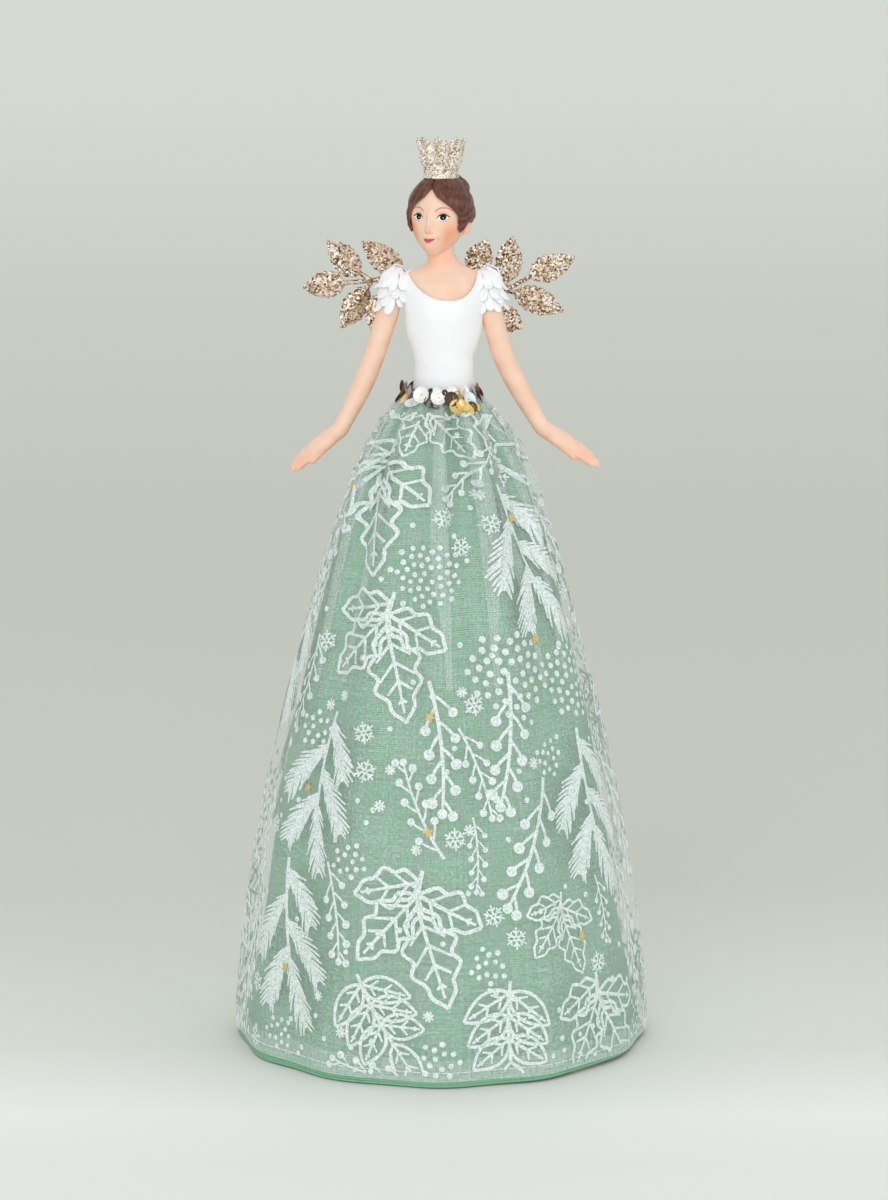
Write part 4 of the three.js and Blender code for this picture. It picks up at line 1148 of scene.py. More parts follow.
def ear_shape(side):
    """An ear is a flattened ball with a hollow pressed into its outer face."""
    part = bmesh.new()
    bmesh.ops.create_icosphere(part, subdivisions=4, radius=1)
    for vert in part.verts:
        x, y, z = vert.co
        hollow = 0.55 * bell_curve(y, 0.0, 0.38) * bell_curve(z, 0.12, 0.5) * ease(x * side * 2)
        taper = 1 - 0.28 * ease(-z)
        vert.co = (x * (EAR_SIZES[0] - hollow), y * EAR_SIZES[1] * taper, z * EAR_SIZES[2])
    bmesh.ops.transform(part, matrix=ear_matrix(side), verts=part.verts)
    return part


def unite(body, part, name):
    """Joins a closed part to the body's mesh for good, with a Boolean that is applied at once."""
    bmesh.ops.recalc_face_normals(part, faces=part.faces)
    bmesh.ops.scale(part, vec=(MM, MM, MM), verts=part.verts)
    helper = to_object(name, to_mesh(part, name))
    union = body.modifiers.new("union", "BOOLEAN")
    union.operation = "UNION"
    union.solver = "EXACT"
    union.object = helper
    apply_modifiers(body)
    bpy.data.objects.remove(helper)


def apply_modifiers(piece):
    """Puts the result of a piece's modifiers into its mesh."""
    depsgraph = bpy.context.evaluated_depsgraph_get()
    result = bpy.data.meshes.new_from_object(piece.evaluated_get(depsgraph))
    piece.modifiers.clear()
    old, piece.data = piece.data, result
    bpy.data.meshes.remove(old)
    result.polygons.foreach_set("use_smooth", [True] * len(result.polygons))


unite(figure_body, head_grid.copy(), "head_part")
for side in (-1, 1):
    unite(figure_body, ear_shape(side), f"ear_part_{side}")
print("figure", len(figure_body.data.polygons), "faces")

# %% [markdown]
# ## Skin paint
# The casting is sprayed in a warm peach and dabbed with orange-pink: blush on the cheeks most, and softly on the
# ears, lids, fingers and elbows. The same orange-pink is also painted shade on the chin and under it, along the jaw,
# beside the nose and on the inner undersides of the arms and hands. The dabs are stored as an attribute on the
# points, because they belong to places on the body. Fine noise keeps the spray from looking flat, and a little light
# under the surface softens it as thin paint does.

# %% Skin, blush and painted shade
skin = Finish("painted_skin", (0.88, 0.62, 0.47), 0.42, Subsurface_Weight=0.08, Subsurface_Scale=0.002)
skin.set(skin.shader, Subsurface_Radius=(1.0, 0.45, 0.3), Coat_Weight=0.08, Coat_Roughness=0.5)
blush_and_shade = skin.node("Attribute", {"attribute_name": "blush_and_shade"})
skin_spray = skin.noise(skin.place(), per_mm(5), 4)
skin_pores = skin.noise(skin.place(), per_mm(0.35), 2)
skin_tone = skin.ramp(skin_spray, (0.3, (0.91, 0.60, 0.445)), (0.7, (0.96, 0.69, 0.54)))
skin.colour(skin.mix(blush_and_shade.outputs["Fac"], skin_tone, (0.97, 0.34, 0.16)))
skin.bump(skin_pores, 0.25, 0.05)
# Where the orange-pink is dabbed: place on the head, radius and strength. The dabs on the cheeks, ears and lids are
# blush; those on and under the chin, along the jaw and beside the nose are painted shade.
BLUSH_AND_SHADE_DABS = (
    ((6.6, -7.0, -4.6), 3.1, 0.8), ((-6.6, -7.0, -4.4), 3.2, 0.95), ((4.5, -7, -8), 2.4, 0.3),
    ((0, -8.5, -11.2), 2.6, 0.2), ((5.2, -4.5, -9.8), 3.0, 0.35), ((-4.6, -6, -9), 2.6, 0.3),
    ((2.5, -3.0, -13.2), 3.2, 0.3), ((-2.5, -3.5, -13.6), 2.6, 0.25), ((1.6, -9.5, -2.2), 1.1, 0.22),
    ((5.6, -6.5, -7.4), 2.6, 0.3), ((0, -11.8, -3.5), 1.2, 0.3), ((0, -10.6, -9.6), 1.8, 0.2),
    ((9.2, 0.4, -3.4), 2.4, 0.35), ((-9.2, 0.4, -3.4), 2.4, 0.35), ((3.75, -9, 1.7), 1.4, 0.16),
    ((-3.75, -9, 1.7), 1.4, 0.16),
)


def paint_skin(piece, dabs):
    """Gives a piece the skin finish, and stores how much orange-pink, blush and painted shade alike, lies on each of
    its points.
    """
    piece.data.materials.clear()
    piece.data.materials.append(skin.material)
    layer = piece.data.attributes.new("blush_and_shade", "FLOAT", "POINT")
    for vert, value in zip(piece.data.vertices, layer.data):
        point = vert.co / MM
        value.value = min(0.85, sum(s * exp(-(((point - p).length / r) ** 2)) for p, r, s in dabs))


paint_skin(figure_body, [(HEAD_PLACE @ Vector(place), radius, strength) for place, radius, strength in BLUSH_AND_SHADE_DABS])
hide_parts("figure_casting")

# %% [markdown]
# ## Painted face
# Eyes, brows and lips are brushed on. Each brush mark is its own thin patch that is laid on the face: its outline
# is drawn flat, filled with a grid so that it can bend, and each point is dropped onto the head along a ray. Marks
# that overlap are stacked a few hundredths of a millimetre apart, as layers of paint are.


# %% Brush marks
def face_drop(x, z, lift):
    """The place on the face straight behind the point (x, z), in front of it by the lift."""
    start = HEAD_PLACE @ Vector((x, -30, z))
    ahead = (HEAD_PLACE.to_3x3() @ Vector((0, 1, 0))).normalized()
    hit, normal, _, _ = head_shape.ray_cast(start, ahead)
    return hit + normal * lift


def lay_mark(bm, part):
    """Turns the faces of a brush mark away from the head and adds it."""
    part.normal_update()
    if sum(face.normal.y for face in part.faces) > 0:
        bmesh.ops.reverse_faces(part, faces=part.faces)
    join(bm, part)


def brush_patch(bm, edge, lift, rings=4, segments=28):
    """A filled patch. Its edge is a centre and an outline, a rule whose turn runs from 0 to 1."""
    centre, outline = edge

    def rule(u, v):
        x, z = outline(u)
        return face_drop(centre[0] + (x - centre[0]) * v, centre[1] + (z - centre[1]) * v, lift)

    lay_mark(bm, bent_grid(segments, rings, rule, None, 0.0008))


def brush_line(bm, points, widths, lift):
    """A brushed line through (x, z) points with a width at each."""
    stops = list(range(len(points)))

    def middle(t):
        return Vector([smooth_spline([p[axis] for p in points], t) for axis in (0, 1)])

    def rule(u, v):
        t = v * stops[-1]
        ahead = middle(min(t + 0.05, stops[-1])) - middle(max(t - 0.05, 0))
        side = Vector((ahead.y, -ahead.x)).normalized()
        place = middle(t) + side * (u - 0.5) * smooth_through(stops, widths, t)
        return face_drop(place.x, place.y, lift)

    lay_mark(bm, bent_grid(2, 4 * stops[-1], rule, None, 0))


def smooth_spline(values, t):
    """A Catmull-Rom curve through evenly spaced values."""
    last = len(values) - 1
    i = min(int(t), last - 1)
    f = t - i
    p0, p1, p2, p3 = values[max(i - 1, 0)], values[i], values[i + 1], values[min(i + 2, last)]
    bend, twist = 2 * p0 - 5 * p1 + 4 * p2 - p3, 3 * p1 - p0 - 3 * p2 + p3
    return 0.5 * (2 * p1 + (p2 - p0) * f + bend * f * f + twist * f**3)


def almond(side, centre, width, height, slant=0.12):
    """The outline of an open eye."""

    def outline(turn):
        angle = 2 * pi * turn
        x = width / 2 * cos(angle)
        lid = 1.0 if sin(angle) > 0 else 0.72
        z = height / 2 * copysign(abs(sin(angle)) ** 1.25, sin(angle)) * lid
        return centre[0] + side * x, centre[1] + z + slant * x

    return centre, outline


def disc(centre, radius_x, radius_z):
    return centre, lambda turn: (
        centre[0] + radius_x * cos(2 * pi * turn),
        centre[1] + radius_z * sin(2 * pi * turn),
    )


# %% Eyes, brows and lips
def paint(name, colour, roughness=0.35, vary=0.2, specular=0.5):
    """Brushed enamel, a little uneven in tone."""
    finish = Finish(name, colour, roughness, Specular_IOR_Level=specular)
    pale = tuple(min(1, c * (1 + vary) + 0.02 * vary) for c in colour)
    deep = tuple(c * (1 - vary) for c in colour)
    finish.mottle(0.5, 2, deep, pale)
    return finish


EYE_X, EYE_Z = 3.92, 0.15
eye_white = paint("eye_white", (0.90, 0.89, 0.87), 0.3, 0.03)
eye_dark = paint("eye_dark", (0.012, 0.005, 0.009), 0.5, specular=0.08)
lash_dark = paint("lash_dark", (0.03, 0.01, 0.006), 0.6, specular=0.1)
brow_brown = paint("brow_brown", (0.52, 0.24, 0.12), 0.6)
lid_line = paint("lid_line", (0.62, 0.28, 0.17), 0.6)
lip_red = paint("lip_red", (0.74, 0.09, 0.10), 0.35, 0.1)
lip_line = paint("lip_line", (0.38, 0.03, 0.045), 0.4)
glint_white = paint("glint_white", (0.95, 0.95, 0.95), 0.2, 0.02)
enamels = (eye_white, eye_dark, lash_dark, brow_brown, lid_line, lip_red, lip_line, glint_white)
marks = {finish: bmesh.new() for finish in enamels}

# The lines round the left eye, from its middle: the paint, (sideways, up) places, widths and lift
EYE_LINES = (
    (
        lash_dark, ((-1.75, -0.2), (-1.15, 0.6), (-0.2, 1.06), (0.7, 0.98), (1.5, 0.5), (2.1, 0.34)),
        (0.08, 0.26, 0.36, 0.38, 0.3, 0.06), 0.1,
    ),
    (
        lid_line, ((-1.6, -0.3), (-0.8, -0.88), (0.3, -0.95), (1.25, -0.45), (1.7, 0.1)),
        (0.05, 0.1, 0.13, 0.12, 0.05), 0.09,
    ),
    (lid_line, ((-1.4, 0.75), (-0.5, 1.42), (0.6, 1.42), (1.6, 0.95)), (0.04, 0.14, 0.14, 0.04), 0.05),
    (
        brow_brown, ((-2.1, 1.9), (-1.3, 2.65), (-0.2, 3.05), (1.3, 2.9), (2.5, 2.15)),
        (0.16, 0.3, 0.3, 0.24, 0.08), 0.06,
    ),
)
for side in (-1, 1):
    eye = (side * EYE_X, EYE_Z)
    brush_patch(marks[eye_white], almond(side, eye, 3.4, 2.5), 0.05)
    gaze = (eye[0] + 0.06, EYE_Z + 0.2)
    brush_patch(marks[eye_dark], disc(gaze, 0.92, 0.9), 0.08)
    brush_patch(marks[glint_white], disc((gaze[0] + 0.1, gaze[1] - 0.22), 0.13, 0.14), 0.11, 2, 14)
    for finish, points, widths, lift in EYE_LINES:
        brush_line(marks[finish], [(eye[0] + side * x, eye[1] + z) for x, z in points], widths, lift)
    brush_patch(marks[lid_line], disc((side * 0.62, -4.3), 0.18, 0.09), 0.04, 2, 14)
MOUTH_HALF_WIDTH, MOUTH_LEVEL = 1.75, -6.55


def lip_outline(turn):
    """Both lips: two peaks above, a full curve below, and corners that turn up a little."""
    angle = 2 * pi * turn
    x = MOUTH_HALF_WIDTH * cos(angle)
    share = abs(x) / MOUTH_HALF_WIDTH
    middle = MOUTH_LEVEL + 0.42 * share**2
    if sin(angle) > 0:
        return x, middle + 0.58 * (1 - share**1.6) * (1 - 0.3 * exp(-((share / 0.2) ** 2)))
    return x, middle - 0.76 * (1 - share**2.2)


brush_patch(marks[lip_red], ((0, -6.6), lip_outline), 0.05, 5, 40)
mouth = [(-1.9, -6.05), (-0.85, -6.45), (0, -6.52), (0.85, -6.45), (1.9, -6.05)]
brush_line(marks[lip_line], mouth, (0.06, 0.12, 0.13, 0.12, 0.06), 0.09)
brush_line(marks[lid_line], [(2.3, -5.5), (2.55, -6.0), (2.4, -6.6)], (0.05, 0.13, 0.05), 0.06)
for finish, mark in marks.items():
    painted = add_piece(mark, finish.material.name + "_paint", finish, recalculate=False)

# %% [markdown]
# ## Moulded hair
# The hair is part of the sculpting: a cap with a middle parting, combed down to the temples and drawn back to a
# bun. It could be made of loose strands, but the real one is a thin shell with grooves. So columns of points climb
# down from the top of the head until they meet the hairline, and shallow waves across the combing are the grooves.

# %% Hairline
PARTING_RISE = 9.4
FACE_OPENING_HALF_WIDTH = 8.6
FACE_OPENING = (
    (0, 1), (0.12, 0.86), (0.28, 0.7), (0.5, 0.55), (0.78, 0.36), (0.95, 0.12), (1.0, -0.14), (0.94, -0.34),
    (0.88, -0.64),
)
LOCK_DROP = 5.6
HAIR_SIDE = ((-3.6, -1.22), (-0.8, -1.22), (-0.34, -0.3), (0.95, -0.24), (1.25, -1.02), (1.6, -1.3), (3.6, -1.3))
HAIR_GROW = 1.15


def between(rows, x):
    """Straight lines through (x, y) rows."""
    if x <= rows[0][0]:
        return rows[0][1]
    for (x0, y0), (x1, y1) in zip(rows, rows[1:]):
        if x <= x1:
            return y0 + (y1 - y0) * (x - x0) / (x1 - x0) if x1 > x0 else y1
    return rows[-1][1]


OPENING_BY_HEIGHT = sorted((z * PARTING_RISE, x * FACE_OPENING_HALF_WIDTH) for x, z in FACE_OPENING)
SIDE_BY_DEPTH = [(y * LOCK_DROP, z * LOCK_DROP) for y, z in HAIR_SIDE]


def is_hair(point):
    """Whether a place on the head, before it is turned, is covered by hair."""
    if point.y < 1.5 and point.z < PARTING_RISE and abs(point.x) < between(OPENING_BY_HEIGHT, point.z):
        return False
    drop = 1 if point.x > 0 else 0.7
    return point.z > drop * between(SIDE_BY_DEPTH, point.y)


def last_covered(covered, low, high, rounds):
    """The last place between low and high that is still covered, found by halving."""
    for _ in range(rounds):
        middle = 0.5 * (low + high)
        low, high = (middle, high) if covered(middle) else (low, middle)
    return low


def hair_column_end(around):
    """How far down a column of hair reaches, as a polar angle."""
    step = pi / 120
    polar = step

    def covered(polar):
        return is_hair(head_point(around, polar, HAIR_GROW))

    while polar < pi * 0.92 and covered(polar):
        polar += step
    return last_covered(covered, polar - step, polar, 12)


def strand_height(point):
    """Combed grooves: they run out from the parting in front, and towards the bun behind it."""
    side = copysign(1, point.x)
    across = abs(point.x)
    comb = 0.62 * across + 0.9 * (point.z - 4) * 0.55 - 0.35 * point.y
    wander = 0.5 * sin(0.55 * point.z + side) + 0.35 * sin(0.9 * point.y)
    lines = cos(3.1 * (comb + wander)) + 0.55 * cos(6.7 * comb + 2 * wander + side)
    parting = 0.5 * bell_curve(point.x, 0, 0.34) * ease((4 - point.y) / 6)
    back = ease((point.y - 1) / 5)
    gather = atan2(point.x, 16 - point.z - 4)
    lines_back = cos(34 * gather) + 0.5 * cos(71 * gather + 1)
    return 0.19 * (lines * (1 - back) + lines_back * back) - parting


# %% Hair cap
HAIR_COLUMNS, HAIR_ROWS = 300, 110
column_ends = [hair_column_end(2 * k / HAIR_COLUMNS - 1) for k in range(HAIR_COLUMNS + 1)]


def hair_rule(u, v):
    around = 2 * u - 1
    end = column_ends[round(u * HAIR_COLUMNS)]
    bare = head_point(around, end * v, HAIR_GROW)
    edge = ease((1 - v) * end * 9)
    grow = HAIR_GROW - 0.35 * (1 - edge) + strand_height(bare) * min(1, 4 * v) * (0.35 + 0.65 * edge)
    return HEAD_PLACE @ head_point(around, end * v, grow)


hair_paint = Finish("hair_paint", (0.09, 0.03, 0.016), 0.36, Specular_IOR_Level=0.4)
hair_paint.set(hair_paint.shader, Coat_Weight=0.1, Coat_Roughness=0.3)
hair_streak_map = hair_paint.node("Mapping", Scale=(1, 1, 0.35))
hair_paint.link(hair_paint.place(), hair_streak_map.inputs["Vector"])
hair_streak = hair_paint.noise(hair_streak_map.outputs["Vector"], per_mm(0.9), 3)
HAIR_TONES = ((0.3, (0.045, 0.013, 0.007)), (0.5, (0.088, 0.026, 0.014)), (0.72, (0.19, 0.075, 0.05)))
hair_base = hair_paint.ramp(hair_streak, *HAIR_TONES)
# Convex ridges and edges, found by Pointiness, turn a lighter red-brown.
hair_edges = hair_paint.node("NewGeometry").outputs["Pointiness"]
hair_ridge_tint = hair_paint.ramp(hair_edges, (0.49, (0, 0, 0)), (0.56, (1, 1, 1)))
hair_paint.colour(hair_paint.mix(hair_ridge_tint, hair_base, (0.24, 0.08, 0.045)))
hair_paint.bump(hair_streak, 0.4, 0.08)
hair = add_piece(bent_grid(HAIR_COLUMNS, HAIR_ROWS, hair_rule), "moulded_hair", hair_paint)
thicken(hair, 0.8)
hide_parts("hair")

# %% [markdown]
# ## Bun
# The bun is a flattened ball of wound hair behind the crown. Its grooves follow a spiral, so the ridge height
# depends on the angle round the bun plus the way from its middle to its rim.

# %% Bun
BUN_RADIUS, BUN_HALF_DEPTH, BUN_RISE = 6.0, 4.4, 0.78
BUN_SEAT = 0.928 / hypot(cos(BUN_RISE) / 10.55, sin(BUN_RISE) / 13.05)
BUN_PLACE = HEAD_PLACE @ Matrix.Rotation(BUN_RISE, 4, "X") @ Matrix.Translation((0, BUN_SEAT, 0))


def bun_rule(u, v):
    turn, polar = 2 * pi * u, pi * v
    coil = cos(2 * pi * 3.2 * v + turn)
    fine = 0.35 * cos(2 * pi * 11 * v + turn)
    ridge = (0.32 * coil + 0.16 * fine) * sin(polar) ** 0.5
    radius = (BUN_RADIUS + ridge - 0.2) * sin(polar) ** 0.75
    depth = -(BUN_HALF_DEPTH + 0.6 * ridge) * cos(polar)
    return BUN_PLACE @ Vector((radius * cos(turn), depth, radius * sin(turn)))


bun = add_piece(bent_grid(96, 84, bun_rule), "hair_bun_wound", hair_paint)
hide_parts("hair_bun")

# %% [markdown]
# ## Crown
# The crown is a ring of eight leaf-shaped points that lean outwards over a plain band. One ring of columns makes
# it: each column is as tall as the leaf is there, and each leaf is pressed out along its middle. The glitter is
# fine and pale gold, so cells of about a third of a millimetre tilt the light in as many ways.

# %% Glitter finish
def glitter_finish(name, size, tones, roughness, metallic, tilt_share=0.75):
    """Coarse glitter: every cell has its own tone, and its own tilt."""
    finish = Finish(name, tones[1], roughness, Metallic=metallic)
    cells = finish.cells(finish.place(), per_mm(size)).outputs["Color"]
    split = finish.node("SeparateColor")
    finish.link(cells, split.inputs["Color"])
    patches = finish.math("SUBTRACT", finish.noise(finish.place(), per_mm(4), 2), 0.5)
    tone = finish.math("ADD", split.outputs["Red"], finish.math("MULTIPLY", patches, 0.5))
    steps = [(k / (len(tones) - 1), tone_colour) for k, tone_colour in enumerate(tones)]
    finish.colour(finish.ramp(tone, *steps))
    tilt = finish.vector("SCALE", finish.vector("SUBTRACT", cells, (0.5, 0.5, 0.5)), Scale=tilt_share)
    facing = finish.node("NewGeometry").outputs["Normal"]
    level = finish.vector("NORMALIZE", finish.vector("ADD", facing, tilt))
    finish.link(level, finish.shader.inputs["Normal"])
    return finish


CROWN_TONES = ((0.20, 0.12, 0.05), (0.72, 0.58, 0.43), (0.95, 0.86, 0.76), (1.0, 0.99, 0.96))
crown_glitter = glitter_finish("crown_glitter", 0.36, CROWN_TONES, 0.35, 0.4, 0.45)

# %% Crown ring
CROWN_HEIGHT, CROWN_FOOT, CROWN_TOP, CROWN_POINTS, CROWN_TURN = 12.0, 5.45, 7.15, 8, 0.31
CROWN_SEAT = HEAD_HALF_HEIGHT - 0.7
CROWN_PLACE = HEAD_PLACE @ Matrix.Translation((0, 0, CROWN_SEAT)) @ Matrix.Rotation(pi / 16, 4, "Z")


def crown_rule(u, v):
    turn = 2 * pi * u
    across = abs(((turn - CROWN_TURN) * CROWN_POINTS / pi) % 2 - 1)
    top = 1 - 0.34 * (1 - across) ** 1.7
    share = v * top
    radius = CROWN_FOOT + (CROWN_TOP - CROWN_FOOT) * share**1.5
    leaf = ease((share - 0.3) / 0.12)
    pressed = 0.6 * leaf * (1 - 2.5 * (1 - across) ** 2.2) + 0.22 * leaf * bell_curve(1 - across, 0, 0.16)
    bead = 0.3 * bell_curve(share, 0.035, 0.03) + 0.34 * bell_curve(share, 0.27, 0.03)
    curl = 0.1 * ease((v - 0.72) / 0.28) * across
    out = radius + pressed + bead + curl - 0.25
    return CROWN_PLACE @ Vector((out * cos(turn), out * sin(turn), share * CROWN_HEIGHT))


crown = add_piece(bent_grid(192, 40, crown_rule), "leaf_crown", crown_glitter)
thicken(crown, 0.8)
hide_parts("crown")

# %% [markdown]
# ## Bodice
# A white stretch jersey is glued over the chest with a scoop neck. It is modelled like the hair: columns climb the
# chest until they meet the neckline. The edge is rolled slightly, soft creases pull round the waist, and the knit
# is a fine pattern on the flat cloth.

# %% Neckline
SCOOP_DEPTH, SCOOP_BACK_DEPTH, SCOOP_HALF_WIDTH, SCOOP_SHIFT = 10.0, 3.2, 10.9, 0.5
BODICE_FOOT, BODICE_TOP = 203.5, NECK_BASE - 1.2
BODICE_GROW, CHEST_LOW = 1.1, 215.0


def is_cloth(point):
    """Whether a place on the chest is below the neckline."""
    across = (point.x - SCOOP_SHIFT) / SCOOP_HALF_WIDTH
    reach = abs(across - 0.2 * max(0, 1 - across**2))
    if point.z > BODICE_TOP:
        return False
    if reach >= 1:
        return True
    depth = SCOOP_DEPTH + (SCOOP_BACK_DEPTH - SCOOP_DEPTH) * ease((point.y + 1.2) / 2.4)
    return point.z < NECK_BASE - depth * (1 - reach ** (2 / 0.85)) ** 0.5


def cloth_top(turn):
    def covered(height):
        return is_cloth(chest_point(turn, height, BODICE_GROW))

    return BODICE_TOP if covered(BODICE_TOP) else last_covered(covered, CHEST_LOW, BODICE_TOP, 22)


# %% Bodice cloth
BODICE_COLUMNS, BODICE_ROWS = 240, 90
BODICE_FLAT = (74, 37)
cloth_tops = [cloth_top(2 * pi * k / BODICE_COLUMNS - pi / 2) for k in range(BODICE_COLUMNS + 1)]


def bodice_rule(u, v):
    turn = 2 * pi * u - pi / 2
    height = BODICE_FOOT + (cloth_tops[round(u * BODICE_COLUMNS)] - BODICE_FOOT) * v
    roll = 0.22 * bell_curve(v, 0.985, 0.014) - 0.3 * ease((v - 0.99) / 0.01)
    crease = 0.12 * cos(0.9 * (height - 205) + 1.2 * cos(turn)) * bell_curve(height, 211, 5)
    return chest_point(turn, height, BODICE_GROW + roll + crease)


jersey = Finish("white_jersey", (0.93, 0.93, 0.945), 0.85, Sheen_Weight=0.2)
jersey_knit = woven(jersey, 0.34, jersey.flat_place(), 0.15)
jersey.colour(jersey.ramp(jersey_knit, (0.2, (0.92, 0.92, 0.945)), (0.9, (0.985, 0.985, 1.0))))
jersey.bump(jersey_knit, 0.5, 0.06)
bodice_cloth = bent_grid(BODICE_COLUMNS, BODICE_ROWS, bodice_rule, BODICE_FLAT)
bodice = add_piece(bodice_cloth, "jersey_bodice", jersey)
thicken(bodice, 0.7)
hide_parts("bodice")

# %% [markdown]
# ## Arms and hands
# Each arm is cast with its hand, held palm down. The fingers are modelled one by one, then all parts are melted
# into one skin with a voxel remesh and a smoothing pass. That leaves soft grooves between the fingers, much as a
# worn mould does. The union of separate parts would leave hard seams instead.

# %% Arms
SHOULDER = Vector((14.0, 0.5, 236.0))
ARM_REACH, ARM_DROP, ARM_RADIUS, HAND_ROLL = 18.0, 43.2, 3.4, 0.75
ARM_ROUTES = {
    "right": ((0, 0, 0), (0.15, 0.03, 0.24), (0.36, 0.05, 0.51), (0.6, 0.02, 0.76), (0.94, -0.02, 1.04)),
    "left": ((0, 0, 0), (0.1, 0.03, 0.24), (0.28, 0.05, 0.51), (0.57, 0.02, 0.76), (0.95, -0.02, 1.03)),
}
ARM_RADII = (1.04, 1, 0.95, 0.9, 0.76)


def arm_point(name, t):
    """A point on the middle of an arm, with t from 0 to 4. Both arms are drawn on the left side."""
    out, forward, down = (smooth_spline([row[axis] for row in ARM_ROUTES[name]], t) for axis in range(3))
    return SHOULDER + Vector((out * ARM_REACH, forward * ARM_REACH, -down * ARM_DROP))


def arm_tube(name):
    stops = (0, 1, 2, 3, 4)
    steps = [k / 12 for k in range(-1, 49)]
    radii = []
    for t in steps:
        radius = ARM_RADIUS * smooth_through(stops, ARM_RADII, max(0, t))
        elbow = 0.12 * bell_curve(t, 1.9, 0.22)
        forearm = 0.16 * bell_curve(t, 2.6, 0.5)
        wrist = -0.12 * bell_curve(t, 3.6, 0.35)
        radii.append(radius + elbow + forearm + wrist)
    radii[0] *= 0.6
    points = [arm_point(name, t) if t >= 0 else arm_point(name, 0) + Vector((-0.4, 0, 1.2)) for t in steps]
    return rod(points, radii, 32)


def finger(start, heading, length, radius, bend):
    """A rounded finger in the plane of the hand, with a slight bend down."""
    points, radii = [], []
    for k in range(13):
        t = k / 12
        points.append(Vector(start) + Vector((length * t * cos(heading), length * t * sin(heading), -bend * t * t)))
        cap = sqrt(max(0.03, 1 - max(0, (t - 0.86) / 0.14) ** 2))
        knuckle = 0.05 * bell_curve(t, 0.42, 0.1) + 0.03 * bell_curve(t, 0.7, 0.08)
        radii.append(radius * (1.08 - 0.24 * t + knuckle) * cap)
    return rod(points, radii, 14)


PALM_HALF_SIZES, PALM_CENTRE = (7.4, 3.2, 2.3), (6.6, 0.1, -0.1)
HEEL_STEPS, HEEL_RADII = (-1.5, -0.6, 0.6, 2, 3.4, 4.8, 6.2, 7.4), (1.9, 2.42, 2.56, 2.62, 2.6, 2.4, 1.9, 1.1)
# Each finger's place across the palm, and how much shorter than the longest it is
FINGERS = ((-1.5, -1.6), (-0.5, 0), (0.5, -0.3), (1.5, -2.4))
FINGER_ROOT, FINGER_SPACING = 10.2, 1.25


def hand_parts(length):
    """A hand along +X from the wrist: a heel, a palm, four fingers and a thumb."""
    palm = bmesh.new()
    bmesh.ops.create_uvsphere(palm, u_segments=32, v_segments=20, radius=1)
    bmesh.ops.scale(palm, vec=PALM_HALF_SIZES, verts=palm.verts)
    bmesh.ops.translate(palm, vec=PALM_CENTRE, verts=palm.verts)
    join(palm, rod([(x, 0, 0) for x in HEEL_STEPS], HEEL_RADII, 24))
    for place, reach in FINGERS:
        root = (FINGER_ROOT, place * FINGER_SPACING, -0.1)
        digit = finger(root, -0.035 * place, length - FINGER_ROOT + reach, 0.92, 0.62)
        join(palm, digit, Matrix.Diagonal((1, 1, 1.22, 1)))
    join(palm, finger((6.4, -1.7, -0.4), -0.13, 7.6, 1.15, 0.7))
    return palm


def melt(piece, voxel, rounds):
    """Melts overlapping closed parts into one smooth skin."""
    remesh = piece.modifiers.new("melt", "REMESH")
    remesh.mode = "VOXEL"
    remesh.voxel_size = voxel * MM
    soften = piece.modifiers.new("soften", "SMOOTH")
    soften.factor = 0.5
    soften.iterations = rounds
    apply_modifiers(piece)


# Side, name, length from wrist to fingertip and dip of each hand in radians
HANDS = ((-1, "right", 20.4, 0.66), (1, "left", 21.6, 0.56))
ARM_VOXEL, ARM_ROUNDS = 0.24, 5
for side, name, hand_length, hand_dip in HANDS:
    wrist = arm_point(name, 4)
    limb = arm_tube(name)
    hand_turn = Matrix.Rotation(hand_dip, 4, "Y") @ Matrix.Rotation(HAND_ROLL, 4, "X")
    join(limb, hand_parts(hand_length), Matrix.Translation(wrist) @ hand_turn)
    bmesh.ops.scale(limb, vec=(side, 1, 1), verts=limb.verts)
    arm = add_piece(limb, f"resin_arm_{name}", None)
    melt(arm, ARM_VOXEL, ARM_ROUNDS)
    forth = Vector((cos(hand_dip), 0, -sin(hand_dip)))
    below = Vector((-sin(hand_dip), 0, -cos(hand_dip)))
    # Painted shade: strong orange-pink dabs along the inner underside of the arm and under the hand, where shade
    # falls. The two light dabs near the fingers and on the elbow are blush.
    under = [arm_point(name, t) + Vector((-2.6, 0, -1.2)) for t in (1, 1.6, 2.2, 2.8, 3.4)]
    under += [wrist + forth * k + below * 3 for k in (-1, 3, 7, 11, 15)]
    dabs = [(wrist + forth * 18, 4.0, 0.22), (arm_point(name, 2) + Vector((1.5, 0, 0)), 3.5, 0.1)]
    dabs += [(place, 2.5, 0.55) for place in under]
    mirror = Vector((side, 1, 1))
    paint_skin(arm, [(place * mirror, radius, strength) for place, radius, strength in dabs])
    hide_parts(f"arm_{name}")
    print(name, "arm", len(arm.data.polygons), "faces")

# %% [markdown]
# ## Petal sleeves
# Instead of sleeves the doll has tufts of soft white petals, cut from cloth and gathered at the shoulder. Each
# petal is one bent grid: narrow at the gather, round at the tip, cupped across. Three tiers are set fanwise round
# the arm over a plain cap of the same cloth, with small differences in length and tilt.

# %% Petals
PETAL_FLAT = (2.5, 7.0)
arm_down = (arm_point("left", 1) - arm_point("left", 0)).normalized()
arm_out = Vector((0, -1, 0)).cross(arm_down).normalized()
petal_cloth = Finish("petal_cloth", (0.95, 0.945, 0.955), 0.8, Sheen_Weight=0.35)
petal_fibre = petal_cloth.mottle(0.5, 4, (0.92, 0.915, 0.935), (0.985, 0.98, 0.99))
petal_cloth.bump(petal_fibre, 0.5, 0.12)


def arm_radial(angle):
    """The direction straight out of the left arm at an angle round it."""
    return arm_out * cos(angle) + Vector((0, -1, 0)) * sin(angle)


